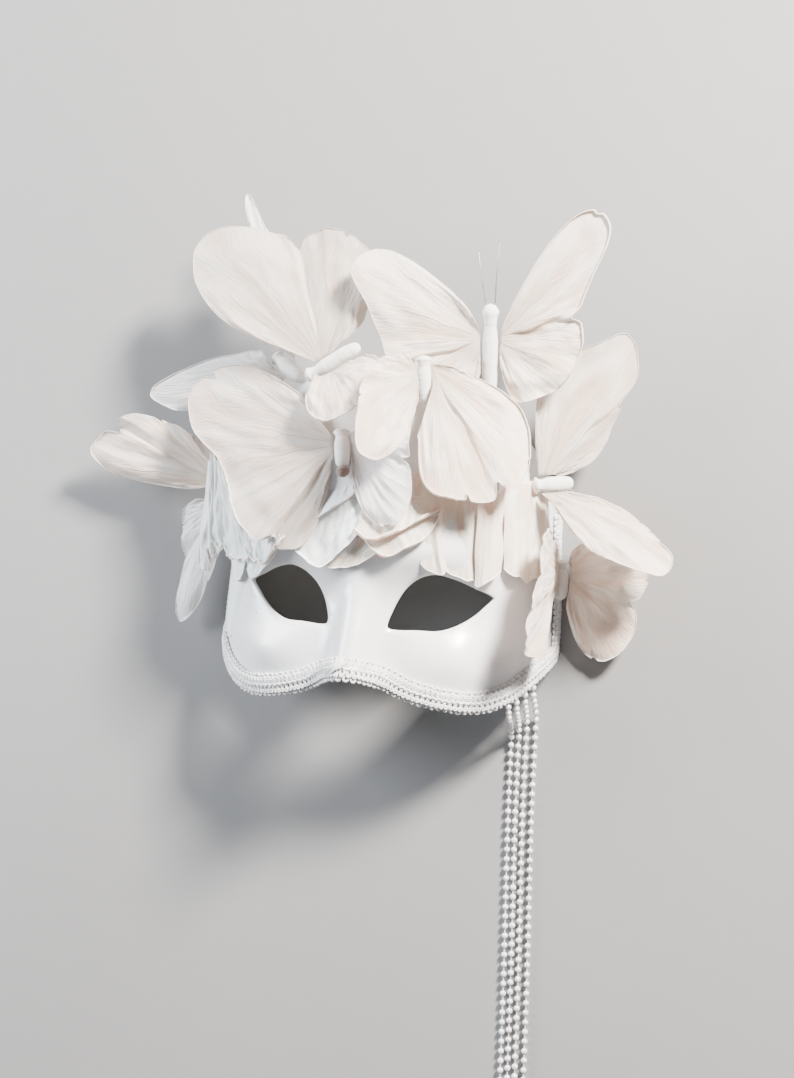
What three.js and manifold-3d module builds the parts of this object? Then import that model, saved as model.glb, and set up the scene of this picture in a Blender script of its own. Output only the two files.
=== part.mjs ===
// White carnival half mask, dressed with feather butterflies, petals, a braid and four bead strands.
// It lies face up. Millimetres, +Z up and out of the face, +Y towards the crown, +X to the wearer's left.
// The names below are measured from the face: x 0 is the nose line, y 0 the line through the eye holes
// and z 0 the floor under the side edges. One shift at the end puts the origin under the middle.

import * as THREE from 'three';
import { mergeVertices } from 'three/addons/utils/BufferGeometryUtils.js';
import Module from 'manifold-3d';

const wasm = await Module();
wasm.setup();

const { clamp, lerp, smoothstep, degToRad, radToDeg } = THREE.MathUtils;
const quarterTurn = Math.PI / 2;
const at = (x, y, z) => new THREE.Vector3(x, y, z);

// Driving sizes of the mask shell
const shellThickness = 2.5;
const halfWidth = 86;
const sideBottomY = -24;
const shellColumns = 34;
const shellRows = 11;

// Depth of the face in front of the side edges, as [y, depth], from the cheeks to the crown
const depthStations = [[-54, 65], [-20, 67], [0, 68], [22, 74], [55, 76], [85, 70], [120, 56]];

// Half width of the shell, as [y, half width]
const widthStations = [[-54, 86], [-30, 89], [-5, 89.5], [30, 87], [60, 85.5], [85, 81.5], [120, 70]];

// Lower and upper edge of the shell, as [turn from the nose line in degrees, y]
const lowerEdge = [[0, -40], [7, -42], [17, -48], [30, -52], [44, -52.5], [57, -47], [68, -38], [79, -30],
  [90, -24]];
const upperEdge = [[0, 120], [20, 119], [35, 112], [50, 101], [65, 87], [80, 71], [90, 62]];

// Relief of the face, added in front of the plain curve
const nose = { topY: 14, tipY: -40, foot: [-0.2, 0.3], topHeight: 2, tipHeight: 19, topWidth: 7,
  tipWidth: 12 };
const bumps = [
  { name: 'eye socket', x: 40, y: 0, rise: -5, wide: 24, tall: 15 },
  { name: 'brow', x: 32, y: 24, rise: 2.5, wide: 26, tall: 9 },
  { name: 'cheek', x: 48, y: -30, rise: 4, wide: 19, tall: 13 },
];

// One eye hole on the wearer's left, from its inner corner round the top: [x, y]
const eyeOutline = [[16, -14], [17.5, -4], [23, 6], [30, 12], [38, 14.5], [47, 13], [56, 9.5], [65, 5],
  [60.5, -1], [56, -5.5], [49, -10.5], [41, -13.8], [31, -14.4]];

// Braid along the edge
const braid = { inset: 0.9, width: 7.4, scallop: 0.5, lift: 0.7, height: 2.1, topY: 50, sideSteps: 8,
  degreeStep: 5 };

// Cross-section of the braid, as [share of its width, share of its height]
const braidSection = [[0, 0.55], [0.25, 1], [0.75, 1], [1, 0.55]];

// Butterflies: a body from head to tail, and a fan-shaped wing on each side of it.
// Fore and hind are two points in the wing's plane. Turn is where the fan starts and ends, in degrees from
// fore towards hind, and reach is its length along equally spaced rays. Bow and pleat lift the sheet.
const bodyRadius = 4;
const chestShare = 0.35;
const wing = { thickness: 0.9, rootFore: 4, rootHind: 5, rootGap: 1.1, columns: 17, rows: 2, pleats: 4,
  bowTurn: 0.8 };

const butterflies = [
  {
    name: 'crown_right', head: at(55, 152, 62), tail: at(55, 103, 47.5),
    left: { fore: at(-17, 170, 68), hind: at(16, 107, 62), turn: [-38, 122], bow: 3, pleat: 0.5,
      reach: [21, 34, 69, 76, 60, 52, 49, 47, 44, 42, 39, 35, 24] },
    right: { fore: at(107, 201, 58), hind: at(92, 112, 52), turn: [-19, 141], bow: 3, pleat: 0.8,
      reach: [28, 66, 74, 56, 44, 42, 42, 40, 40, 39, 36, 35, 32, 20] },
  },
  {
    name: 'crown_left', head: at(-38, 110, 64), tail: at(-9, 127, 70),
    left: { fore: at(-19, 83, 86), hind: at(9, 124, 74), turn: [-82, 93], bow: 4, pleat: 0.4,
      reach: [7, 11, 28, 36, 36, 35] },
    right: { fore: at(-115, 172, 44), hind: at(-32, 192, 48), turn: [-23, 105], bow: 4, pleat: 0.7,
      reach: [33, 68, 97, 105, 95, 80, 74, 74, 70, 63, 49, 33, 23] },
  },
  {
    name: 'brow_left', head: at(-14, 84, 74), tail: at(-10, 64, 79.5),
    left: { fore: at(-106, 113, 40), hind: at(-42, 20, 76), turn: [-34, 117], bow: 3, pleat: 1,
      reach: [26, 45, 85, 104, 95, 73, 67, 66, 66, 65, 60, 51, 14] },
    right: { fore: at(19, 79, 83), hind: at(14, 37, 87), turn: [-38, 85], bow: 1.5, pleat: 0.4,
      reach: [22, 31, 34, 35, 38, 46, 52, 43, 15] },
  },
  {
    name: 'temple_right', head: at(79, 63.5, 39.4), tail: at(98, 67, 30),
    left: { fore: at(153, 23, 36), hind: at(134, 52, 24), turn: [-36, 45], bow: 4, pleat: 0.7,
      reach: [20, 39, 53, 71, 72, 59, 46, 22, 14] },
    right: { fore: at(123, 146, 30), hind: at(112, 80, 25), turn: [-45, 67], bow: -3, pleat: 0.8,
      reach: [32, 49, 60, 71, 84, 72, 48, 37, 26, 16, 10] },
  },
  {
    name: 'temple_left', head: at(-100, 50, 18), tail: at(-85.5, 61, 24),
    left: { fore: at(-117, -24, 8), hind: at(-94, -7, 17), turn: [-62, 46], bow: 2.5, pleat: 0.7,
      reach: [29, 34, 38, 49, 78, 33, 27, 20] },
    right: { fore: at(-172, 71, 20), hind: at(-143, 90, 30), turn: [-37, 71], bow: 4, pleat: 0.9,
      reach: [12, 20, 32, 62, 78, 73, 68, 60, 45, 37, 28, 20, 15] },
  },
  {
    name: 'cheek_right', head: at(92, 28, 16), tail: at(93, 7, 14),
    left: { fore: at(90, 56, 42), hind: at(92, -27, 42), turn: [19, 140], bow: 2, pleat: 0.6,
      reach: [43, 43, 46, 53, 64, 66, 56, 46, 12] },
    right: { fore: at(138, 37, 14), hind: at(113, -30, 9), turn: [-78, 115], bow: 3, pleat: 0.9,
      reach: [9, 16, 24, 36, 41, 39, 47, 48, 26] },
  },
  {
    name: 'crown_back', head: at(-64, 124, 40), tail: at(-45, 111, 49),
    left: { fore: at(-139, 102, 22), hind: at(-92, 79, 30), turn: [-64, 44], bow: 3, pleat: 0.6,
      reach: [15, 17, 19, 24, 30, 43, 61, 84, 72, 65, 61, 53, 23] },
    right: { fore: at(-92, 211, 32), hind: at(-62, 160, 38), turn: [-7, 17], bow: 0, pleat: 0.3,
      reach: [40, 66, 97, 76, 68, 62, 30] },
  },
  {
    name: 'centre', head: at(25, 123, 72), tail: at(27.5, 99, 69),
    left: { fore: at(8, 117, 85), hind: at(22, 64, 92.5), turn: [-56, 96], bow: 3, pleat: 0.5,
      reach: [10, 13, 20, 28, 40, 57, 28] },
    right: { fore: at(83, 86, 58), hind: at(35, 50, 90), turn: [-38, 72], bow: 4, pleat: 0.6,
      reach: [14, 24, 46, 60, 70, 74, 70, 65, 50] },
  },
];

// Petals over the brow: the middle of the base, the tip, the half widths at both, and how far it cups
const petal = { thickness: 1, columns: 8, rows: 3, sweep: 0.8, shoulder: 0.55 };
const petals = [
  { name: 'rose', cup: 2, halves: [12, 24],
    base: at(20, 50, 79), tip: at(17, 29, 83), side: at(1, 0.3, -0.1) },
  { name: 'centre', cup: 0, halves: [14, 24],
    base: at(12, 36, 79), tip: at(7, 17, 78), side: at(1, 0.25, 0) },
  { name: 'left', cup: 2, halves: [6, 20],
    base: at(-10, 55, 80), tip: at(-25, 17, 76), side: at(1, -0.15, 0.28) },
  { name: 'corner', cup: 2, halves: [10, 18],
    base: at(-70, 37, 49), tip: at(-67, 14, 51), side: at(1, 0, 0.9) },
  { name: 'temple', cup: 1, halves: [4.5, 6.5],
    base: at(-96, 41, 27), tip: at(-98, 13, 21), side: at(1, 0, 0.2) },
  { name: 'eye_corner', cup: 1, halves: [5, 8],
    base: at(-55, 19, 65), tip: at(-56, 6, 63), side: at(1, 0, 0.8) },
  { name: 'drape_inner', cup: 3, halves: [10, 17],
    base: at(46, 57, 70), tip: at(47, 13, 66), side: at(1, 0, -0.55) },
  { name: 'drape_middle', cup: 1, halves: [8, 9],
    base: at(62, 58, 61.5), tip: at(65, 13, 57), side: at(1, 0, -0.85) },
  { name: 'drape_outer', cup: 3, halves: [12, 17],
    base: at(76, 60, 47.5), tip: at(79, 13, 46), side: at(0.5, 0, -1) },
];

// Bead strands: each starts at the braid, drops to the floor and follows the lane of [y, x] along it
const beadDiameter = 3.4;
const floorZ = beadDiameter / 2 + 0.1;
const strandSides = 8;
const strandSteps = 22;
const laneStations = [[-258, 78.8], [-183, 75.7], [-126, 72.8], [-80, 70.8]];
const lanePoints = 6;
const strandDrop = [[5, 0.8], [11, 0.35], [18, 0.04], [26, 0]];
const strands = [
  { name: 'bead_strand_1', start: at(74, -49.5, 34), endY: -250, shift: 0 },
  { name: 'bead_strand_2', start: at(77.3, -47, 30), endY: -258, shift: 3.8 },
  { name: 'bead_strand_3', start: at(80.5, -43, 25), endY: -247, shift: 7.7 },
  { name: 'bead_strand_4', start: at(83.5, -39, 20), endY: -253, shift: 12.4 },
];

const originAt = at(-11.3, 80.1, 0);

// Materials
const white = new THREE.MeshStandardMaterial({ color: 0xf2f3f5, roughness: 0.22, metalness: 0 });
const feather = new THREE.MeshStandardMaterial({ color: 0xf3ebe2, roughness: 0.75, metalness: 0 });
const pulp = new THREE.MeshStandardMaterial({ color: 0xf6f4ef, roughness: 0.85, metalness: 0 });
const silk = new THREE.MeshStandardMaterial({ color: 0xf1eff0, roughness: 0.6, metalness: 0 });
const silver = new THREE.MeshStandardMaterial({ color: 0xd9dade, roughness: 0.35, metalness: 0.6 });
const pearl = new THREE.MeshStandardMaterial({ color: 0xefedf2, roughness: 0.25, metalness: 0.1 });

// Smooth curve through stations of [where, value]
function through(stations, where) {
  const last = stations.length - 1;
  if (where <= stations[0][0]) return stations[0][1];
  if (where >= stations[last][0]) return stations[last][1];
  const next = stations.findIndex(([place]) => place > where);
  const [a, b] = [stations[next - 1], stations[next]];
  const before = stations[Math.max(next - 2, 0)];
  const after = stations[Math.min(next + 1, last)];
  const step = b[0] - a[0];
  const share = (where - a[0]) / step;
  const slopeA = ((b[1] - before[1]) / (b[0] - before[0])) * step;
  const slopeB = ((after[1] - a[1]) / (after[0] - a[0])) * step;
  const s2 = share * share;
  const s3 = s2 * share;
  return (2 * s3 - 3 * s2 + 1) * a[1] + (s3 - 2 * s2 + share) * slopeA
    + (3 * s2 - 2 * s3) * b[1] + (s3 - s2) * slopeB;
}

const bell = (offset, width) => Math.exp(-((offset / width) ** 2));

// How far the face stands in front of its plain curve
function reliefAt(x, y) {
  const along = clamp((nose.topY - y) / (nose.topY - nose.tipY), 0, 1);
  const noseHeight = lerp(nose.topHeight, nose.tipHeight, along) * smoothstep(along, ...nose.foot);
  let rise = noseHeight * bell(x, lerp(nose.topWidth, nose.tipWidth, along));
  for (const bump of bumps) {
    rise += bump.rise * bell(Math.abs(x) - bump.x, bump.wide) * bell(y - bump.y, bump.tall);
  }
  return rise;
}

// Point on the outside of the shell: turn runs from -90 to 90 degrees round the face
function facePoint(turn, y) {
  const x = through(widthStations, y) * Math.sin(turn);
  const fade = Math.cos(turn);
  const relief = reliefAt(x, y) * Math.min(1, fade * 2);
  return at(x + relief * Math.sin(turn), y, (through(depthStations, y) + relief) * fade);
}

function faceNormal(turn, y) {
  const small = 0.01;
  const across = facePoint(turn + small, y).sub(facePoint(turn - small, y));
  const up = facePoint(turn, y + 1).sub(facePoint(turn, y - 1));
  return across.cross(up).normalize();
}

// Closed solid between two grids of points, the outer one and the inner one
function gridSolid(outer, inner, columns, rows) {
  const positions = [];
  const indices = [];
  const layer = (columns + 1) * (rows + 1);
  const index = (side, column, row) => side * layer + row * (columns + 1) + column;
  for (const side of [outer, inner]) {
    for (let row = 0; row <= rows; row += 1) {
      for (let column = 0; column <= columns; column += 1) {
        positions.push(...side(column / columns, row / rows).toArray());
      }
    }
  }
  const quad = (a, b, c, d) => indices.push(a, b, c, a, c, d);
  for (let row = 0; row < rows; row += 1) {
    for (let column = 0; column < columns; column += 1) {
      const [near, far] = [column, column + 1];
      quad(index(0, near, row), index(0, far, row), index(0, far, row + 1), index(0, near, row + 1));
      quad(index(1, near, row), index(1, near, row + 1), index(1, far, row + 1), index(1, far, row));
    }
  }
  for (let column = 0; column < columns; column += 1) {
    const [near, far] = [column, column + 1];
    quad(index(0, near, 0), index(1, near, 0), index(1, far, 0), index(0, far, 0));
    quad(index(0, near, rows), index(0, far, rows), index(1, far, rows), index(1, near, rows));
  }
  for (let row = 0; row < rows; row += 1) {
    quad(index(0, 0, row), index(0, 0, row + 1), index(1, 0, row + 1), index(1, 0, row));
    quad(index(0, columns, row), index(1, columns, row), index(1, columns, row + 1),
      index(0, columns, row + 1));
  }
  const geometry = new THREE.BufferGeometry();
  geometry.setAttribute('position', new THREE.Float32BufferAttribute(positions, 3));
  geometry.setIndex(facingOut(positions, indices));
  geometry.computeVertexNormals();
  return geometry;
}

// Turns every face over where the closed mesh is inside out
function facingOut(positions, indices) {
  const corner = (i) => at(positions[3 * i], positions[3 * i + 1], positions[3 * i + 2]);
  let volume = 0;
  for (let i = 0; i < indices.length; i += 3) {
    volume += corner(indices[i]).dot(corner(indices[i + 1]).cross(corner(indices[i + 2])));
  }
  if (volume > 0) return indices;
  const turned = [];
  for (let i = 0; i < indices.length; i += 3) turned.push(indices[i], indices[i + 2], indices[i + 1]);
  return turned;
}

// Joins and cuts
function toSolid(geometry) {
  const plain = geometry.clone();
  plain.deleteAttribute('normal');
  plain.deleteAttribute('uv');
  const merged = mergeVertices(plain);
  return new wasm.Manifold(new wasm.Mesh({
    numProp: 3,
    vertProperties: new Float32Array(merged.attributes.position.array),
    triVerts: new Uint32Array(merged.index.array),
  }));
}

function toGeometry(solid) {
  const mesh = solid.getMesh();
  const geometry = new THREE.BufferGeometry();
  geometry.setAttribute('position', new THREE.Float32BufferAttribute(mesh.vertProperties, 3));
  geometry.setIndex(Array.from(mesh.triVerts));
  geometry.computeVertexNormals();
  return geometry;
}

// Mask shell
function shellGeometry() {
  const place = (u, v) => {
    const turn = (2 * u - 1) * quarterTurn;
    const degrees = Math.abs(radToDeg(turn));
    return [turn, lerp(through(lowerEdge, degrees), through(upperEdge, degrees), v)];
  };
  const outer = (u, v) => facePoint(...place(u, v));
  const inner = (u, v) => outer(u, v).addScaledVector(faceNormal(...place(u, v)), -shellThickness);
  let solid = toSolid(gridSolid(outer, inner, shellColumns, shellRows));
  for (const side of [1, -1]) solid = solid.subtract(toSolid(eyeCutter(side)));
  return toGeometry(solid);
}

function eyeCutter(side) {
  const shape = new THREE.Shape(eyeOutline.map(([x, y]) => new THREE.Vector2(side * x, y)));
  return new THREE.ExtrudeGeometry(shape, { depth: 2 * halfWidth, bevelEnabled: false });
}

// Braid: a scalloped band that follows the edge of the shell, as [degrees, y] down one side and up the other
function edgePath() {
  const sideStep = (braid.topY - sideBottomY) / braid.sideSteps;
  const left = Array.from({ length: braid.sideSteps }, (_, i) => [-90, braid.topY - i * sideStep]);
  const bottom = [];
  for (let degrees = -90; degrees <= 90; degrees += braid.degreeStep) {
    bottom.push([degrees, through(lowerEdge, Math.abs(degrees))]);
  }
  const right = left.map(([degrees, y]) => [-degrees, y]).reverse();
  return [...left, ...bottom, ...right];
}

function braidGeometry() {
  const arc = degToRad(1) * (halfWidth + through(depthStations, 0)) / 2;
  const flat = edgePath().map(([degrees, y]) => new THREE.Vector2(degrees * arc, y));
  const sections = flat.map((point, i) => {
    const before = flat[Math.max(i - 1, 0)];
    const after = flat[Math.min(i + 1, flat.length - 1)];
    const inward = after.clone().sub(before).normalize().rotateAround(new THREE.Vector2(), quarterTurn);
    const scallop = (i % 2) * braid.scallop;
    return braidSection.map(([share, rise]) => {
      const offset = braid.inset + scallop + share * (braid.width - 2 * scallop);
      const spot = point.clone().addScaledVector(inward, offset);
      return { turn: degToRad(spot.x / arc), y: spot.y, height: braid.lift + rise * braid.height };
    });
  });
  const nearest = (list, share) => list[Math.round(share * (list.length - 1))];
  const spotAt = (u, v) => nearest(nearest(sections, u), v);
  const lifted = ({ turn, y }, height) => facePoint(turn, y).addScaledVector(faceNormal(turn, y), height);
  const outer = (u, v) => lifted(spotAt(u, v), spotAt(u, v).height);
  const inner = (u, v) => lifted(spotAt(u, v), braid.lift);
  return gridSolid(outer, inner, sections.length - 1, braidSection.length - 1);
}

// A sheet that spreads from a root edge: edge(t) gives the rim, height(s, t) the rise off its plane
function fanSheet({ rootStart, rootEnd, edge, height, normal, thickness, columns, rows }) {
  const flat = (u, v) => rootStart.clone().lerp(rootEnd, u).lerp(edge(u), v);
  const middle = (u, v) => flat(u, v).addScaledVector(normal, height(v, u));
  const outer = (u, v) => middle(u, v).addScaledVector(normal, thickness / 2);
  const inner = (u, v) => middle(u, v).addScaledVector(normal, -thickness / 2);
  return gridSolid(outer, inner, columns, rows);
}

// Smooth curve through values at equal steps from 0 to 1
function alongList(values, share) {
  return through(values.map((value, i) => [i / (values.length - 1), value]), share);
}

function wingGeometry({ head, tail }, { fore, hind, turn, reach, bow, pleat }) {
  const along = tail.clone().sub(head).normalize();
  const chest = head.clone().lerp(tail, chestShare);
  const outward = fore.clone().add(hind).multiplyScalar(0.5).sub(chest);
  outward.addScaledVector(along, -outward.dot(along)).normalize();
  const root = chest.addScaledVector(outward, bodyRadius + wing.rootGap);
  const ahead = fore.clone().sub(root).normalize();
  const normal = ahead.clone().cross(hind.clone().sub(root)).normalize();
  const aside = normal.clone().cross(ahead);
  const up = normal.z < 0 ? normal.clone().negate() : normal;
  const rootLine = along.clone().projectOnPlane(normal).normalize();
  return fanSheet({
    rootStart: root.clone().addScaledVector(rootLine, -wing.rootFore),
    rootEnd: root.clone().addScaledVector(rootLine, wing.rootHind),
    edge: (t) => {
      const angle = degToRad(lerp(turn[0], turn[1], t));
      const far = alongList(reach, t);
      return root.clone().addScaledVector(ahead, far * Math.cos(angle))
        .addScaledVector(aside, far * Math.sin(angle));
    },
    height: (s, t) => bow * Math.sin(Math.PI * s * wing.bowTurn)
      + pleat * s * Math.sin(2 * Math.PI * wing.pleats * t),
    normal: up,
    thickness: wing.thickness,
    columns: wing.columns,
    rows: wing.rows,
  });
}

// Butterfly body: a smooth abdomen and chest, a narrow neck and a round head, turned about its own length
const bodySides = 7;
const bodyProfile = [[0, 0], [0.55, 0.03], [0.9, 0.15], [1, 0.4], [0.96, 0.64], [0.78, 0.77], [0.84, 0.86],
  [0.92, 0.92], [0.6, 0.98], [0, 1]];

function bodyGeometry({ head, tail }) {
  const length = head.distanceTo(tail);
  const profile = bodyProfile.map(([wide, far]) => new THREE.Vector2(wide * bodyRadius, far * length));
  const geometry = new THREE.LatheGeometry(profile, bodySides);
  const axis = head.clone().sub(tail).normalize();
  geometry.applyQuaternion(new THREE.Quaternion().setFromUnitVectors(at(0, 1, 0), axis));
  geometry.translate(...tail.toArray());
  return geometry;
}

// Petal: a round-ended sheet that cups across its width
function petalGeometry({ base, tip, side, halves: [baseHalf, tipHalf], cup }) {
  const spine = tip.clone().sub(base);
  const across = side.clone().normalize();
  const normal = across.clone().cross(spine).normalize();
  if (normal.z < 0) normal.negate();
  return fanSheet({
    rootStart: base.clone().addScaledVector(across, -baseHalf),
    rootEnd: base.clone().addScaledVector(across, baseHalf),
    edge: (t) => {
      const angle = (2 * t - 1) * quarterTurn * petal.sweep;
      const far = lerp(petal.shoulder, 1, Math.cos(angle));
      return base.clone().addScaledVector(spine, far).addScaledVector(across, tipHalf * Math.sin(angle));
    },
    height: (s, t) => cup * s * (1 - (2 * t - 1) ** 2),
    normal,
    thickness: petal.thickness,
    columns: petal.columns,
    rows: petal.rows,
  });
}

// Bead strand: a plain tube of the beads' outer size along its route
function strandRoute({ start, endY, shift }) {
  const laneAt = (y) => through(laneStations, y) + shift;
  const drop = strandDrop.map(([out, share]) => at(
    lerp(laneAt(start.y), start.x, share), start.y - out, lerp(floorZ, start.z, share)));
  const footY = drop[drop.length - 1].y;
  const floor = Array.from({ length: lanePoints }, (_, i) => {
    const y = lerp(footY, endY, (i + 1) / lanePoints);
    return at(laneAt(y), y, floorZ);
  });
  return [start, ...drop, ...floor];
}

function strandGeometry(plan) {
  const circle = new THREE.Shape();
  for (let i = 0; i < strandSides; i += 1) {
    const angle = (i / strandSides) * 4 * quarterTurn;
    const spot = [Math.cos(angle) * beadDiameter / 2, Math.sin(angle) * beadDiameter / 2];
    if (i === 0) circle.moveTo(...spot);
    else circle.lineTo(...spot);
  }
  const extrudePath = new THREE.CatmullRomCurve3(strandRoute(plan), false, 'centripetal');
  return new THREE.ExtrudeGeometry(circle, { steps: strandSteps, extrudePath, bevelEnabled: false });
}

// The assembled mask
const mask = new THREE.Group();

function addPiece(name, geometry, material) {
  const mesh = new THREE.Mesh(geometry, material);
  mesh.name = name;
  mesh.position.copy(originAt).negate();
  mask.add(mesh);
}

addPiece('mask_shell', shellGeometry(), white);
addPiece('edge_braid', braidGeometry(), silver);
for (const butterfly of butterflies) {
  addPiece(`${butterfly.name}_body`, bodyGeometry(butterfly), pulp);
  addPiece(`${butterfly.name}_wing_left`, wingGeometry(butterfly, butterfly.left), feather);
  addPiece(`${butterfly.name}_wing_right`, wingGeometry(butterfly, butterfly.right), feather);
}
for (const plan of petals) addPiece(`petal_${plan.name}`, petalGeometry(plan), silk);
for (const plan of strands) addPiece(plan.name, strandGeometry(plan), pearl);

export default mask;
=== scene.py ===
# White carnival half mask, dressed with feather butterflies, petals, a braid and four bead strands.
# Places are named in millimetres from the face, as the solids are: x 0 is the nose line, y 0 the line
# through the eye holes and z 0 the floor under the side edges. place() turns them into the frame's metres.

import math

import bpy
import numpy as np
from mathutils import Matrix, Vector, noise
from mathutils.geometry import delaunay_2d_cdt


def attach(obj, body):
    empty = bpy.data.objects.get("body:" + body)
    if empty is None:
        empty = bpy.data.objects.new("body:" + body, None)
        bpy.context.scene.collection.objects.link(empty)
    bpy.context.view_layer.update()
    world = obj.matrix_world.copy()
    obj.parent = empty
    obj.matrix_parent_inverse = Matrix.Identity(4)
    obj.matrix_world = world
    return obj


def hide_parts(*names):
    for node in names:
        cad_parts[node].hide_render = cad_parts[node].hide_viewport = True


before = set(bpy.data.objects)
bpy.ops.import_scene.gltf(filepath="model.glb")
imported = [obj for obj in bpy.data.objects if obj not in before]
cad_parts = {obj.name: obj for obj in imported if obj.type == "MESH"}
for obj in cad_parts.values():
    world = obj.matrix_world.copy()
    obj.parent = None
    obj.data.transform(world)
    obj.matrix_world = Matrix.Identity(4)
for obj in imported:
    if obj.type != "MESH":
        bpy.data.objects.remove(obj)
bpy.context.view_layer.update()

MM = 0.001
ORIGIN_AT = Vector((-11.3, 80.1, 0))
BODY = "root"


def place(point):
    return (Vector(point) - ORIGIN_AT) * MM


def lerp(a, b, share):
    return a + (b - a) * share


def clamp(value, low=0.0, high=1.0):
    return max(low, min(high, value))


def smoothstep(low, high, value):
    share = clamp((value - low) / (high - low))
    return share * share * (3 - 2 * share)


def bell(offset, width):
    return math.exp(-((offset / width) ** 2))


def ripple(x, y, z):
    """Smooth noise at a spot, between -1 and 1."""
    return noise.noise(Vector((x, y, z)))


def through(stations, where):
    """Smooth curve through stations of (where, value)."""
    last = len(stations) - 1
    if where <= stations[0][0]:
        return stations[0][1]
    if where >= stations[last][0]:
        return stations[last][1]
    following = next(i for i, station in enumerate(stations) if station[0] > where)
    a, b = stations[following - 1], stations[following]
    before, after = stations[max(following - 2, 0)], stations[min(following + 1, last)]
    step = b[0] - a[0]
    share = (where - a[0]) / step
    slope_a = (b[1] - before[1]) / (b[0] - before[0]) * step
    slope_b = (after[1] - a[1]) / (after[0] - a[0]) * step
    s2 = share * share
    s3 = s2 * share
    return ((2 * s3 - 3 * s2 + 1) * a[1] + (s3 - 2 * s2 + share) * slope_a
            + (3 * s2 - 2 * s3) * b[1] + (s3 - s2) * slope_b)


def along_list(values, share):
    """Smooth curve through values at equal steps from 0 to 1."""
    last = len(values) - 1
    return through([(i / last, value) for i, value in enumerate(values)], share)


def along_points(points, share):
    """Smooth curve through points at equal steps from 0 to 1."""
    return Vector([along_list([point[axis] for point in points], share) for axis in range(3)])


def span_points(four, steps):
    """Points along the span between the middle two of four: neighbours are blended, then their blends."""
    knots = [0.0]
    for a, b in zip(four, four[1:]):
        knots.append(knots[-1] + math.sqrt((b - a).length))

    def between(a, b, low, high, knot):
        return a.lerp(b, (knot - knots[low]) / (knots[high] - knots[low]))

    line = []
    for step in range(steps):
        knot = lerp(knots[1], knots[2], step / steps)
        first = [between(four[k], four[k + 1], k, k + 1, knot) for k in range(3)]
        second = [between(first[k], first[k + 1], k, k + 2, knot) for k in range(2)]
        line.append(between(second[0], second[1], 1, 2, knot))
    return line


def centripetal(points, steps):
    """Smooth curve through points, with knots spaced by the root of their distance."""
    padded = [points[0] * 2 - points[1], *points, points[-1] * 2 - points[-2]]
    line = []
    for i in range(len(padded) - 3):
        line += span_points(padded[i:i + 4], steps)
    return [*line, points[-1]]


def linked(name, data):
    """A new object of the scene."""
    item = bpy.data.objects.new(name, data)
    bpy.context.scene.collection.objects.link(item)
    return item


# Camera
IMAGE_HEIGHT = 1078
SENSOR_HEIGHT = 36
CAMERA = {"yaw": 15.0, "pitch": -2.0, "roll": 4.5, "distance": 900, "focal_pixels": 1797}
IMAGE_MIDDLE = (397, 539)
ANCHOR = Vector((-3.5, -2, 72))
ANCHOR_PIXEL = (349, 601)


def add_camera():
    """A camera turned as the photograph's, with the anchor at its pixel."""
    yaw, pitch, roll = (math.radians(CAMERA[name]) for name in ("yaw", "pitch", "roll"))
    back = Vector((math.sin(yaw) * math.cos(pitch), math.sin(pitch), math.cos(yaw) * math.cos(pitch)))
    level_right = (-back).cross(Vector((0, 1, 0))).normalized()
    level_up = level_right.cross(-back)
    right = level_right * math.cos(roll) + level_up * math.sin(roll)
    up = level_up * math.cos(roll) - level_right * math.sin(roll)
    per_pixel = CAMERA["distance"] / CAMERA["focal_pixels"]
    across = (ANCHOR_PIXEL[0] - IMAGE_MIDDLE[0]) * per_pixel
    rise = (IMAGE_MIDDLE[1] - ANCHOR_PIXEL[1]) * per_pixel
    spot = place(ANCHOR + back * CAMERA["distance"] - right * across - up * rise)
    data = bpy.data.cameras.new("camera")
    data.sensor_fit = "VERTICAL"
    data.sensor_height = SENSOR_HEIGHT
    data.lens = SENSOR_HEIGHT * CAMERA["focal_pixels"] / IMAGE_HEIGHT
    camera = linked("camera", data)
    camera.matrix_world = Matrix.Translation(spot) @ Matrix((right, up, back)).transposed().to_4x4()
    bpy.context.scene.camera = camera


# Nodes
def set_inputs(tree, node, inputs):
    """Sets a node's inputs, each to a value or to the socket that feeds it."""
    for key, value in inputs.items():
        if isinstance(value, bpy.types.NodeSocket):
            tree.links.new(value, node.inputs[key])
        else:
            node.inputs[key].default_value = value
    return node


def add_node(tree, kind, inputs=None, **settings):
    node = tree.nodes.new(kind)
    for name, value in settings.items():
        setattr(node, name, value)
    return set_inputs(tree, node, inputs or {})


def new_tree(name, kind, inputs, outputs):
    """An empty node tree and its two end nodes: inputs are (name, kind, value), outputs (name, kind)."""
    tree = bpy.data.node_groups.new(name, kind)
    for label, socket_kind, value in inputs:
        socket = tree.interface.new_socket(label, in_out="INPUT", socket_type=f"NodeSocket{socket_kind}")
        if value is not None:
            socket.default_value = value
    for label, socket_kind in outputs:
        tree.interface.new_socket(label, in_out="OUTPUT", socket_type=f"NodeSocket{socket_kind}")
    return tree, tree.nodes.new("NodeGroupInput"), tree.nodes.new("NodeGroupOutput")


def add_math(tree, operation, *values, limit=False):
    node = add_node(tree, "ShaderNodeMath", dict(enumerate(values)), operation=operation, use_clamp=limit)
    return node.outputs[0]


def times(tree, first, second):
    return add_math(tree, "MULTIPLY", first, second)


def mix_colour(tree, share, first, second):
    node = add_node(tree, "ShaderNodeMix", {"Factor": share, 6: first, 7: second}, data_type="RGBA")
    return node.outputs[2]


def layered(tree, colour, layers):
    """The colour with layers over it, each a mask, how much of it shows, and its own tone."""
    for mask, share, tone in layers:
        colour = mix_colour(tree, times(tree, mask, share), colour, tone)
    return colour


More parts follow.
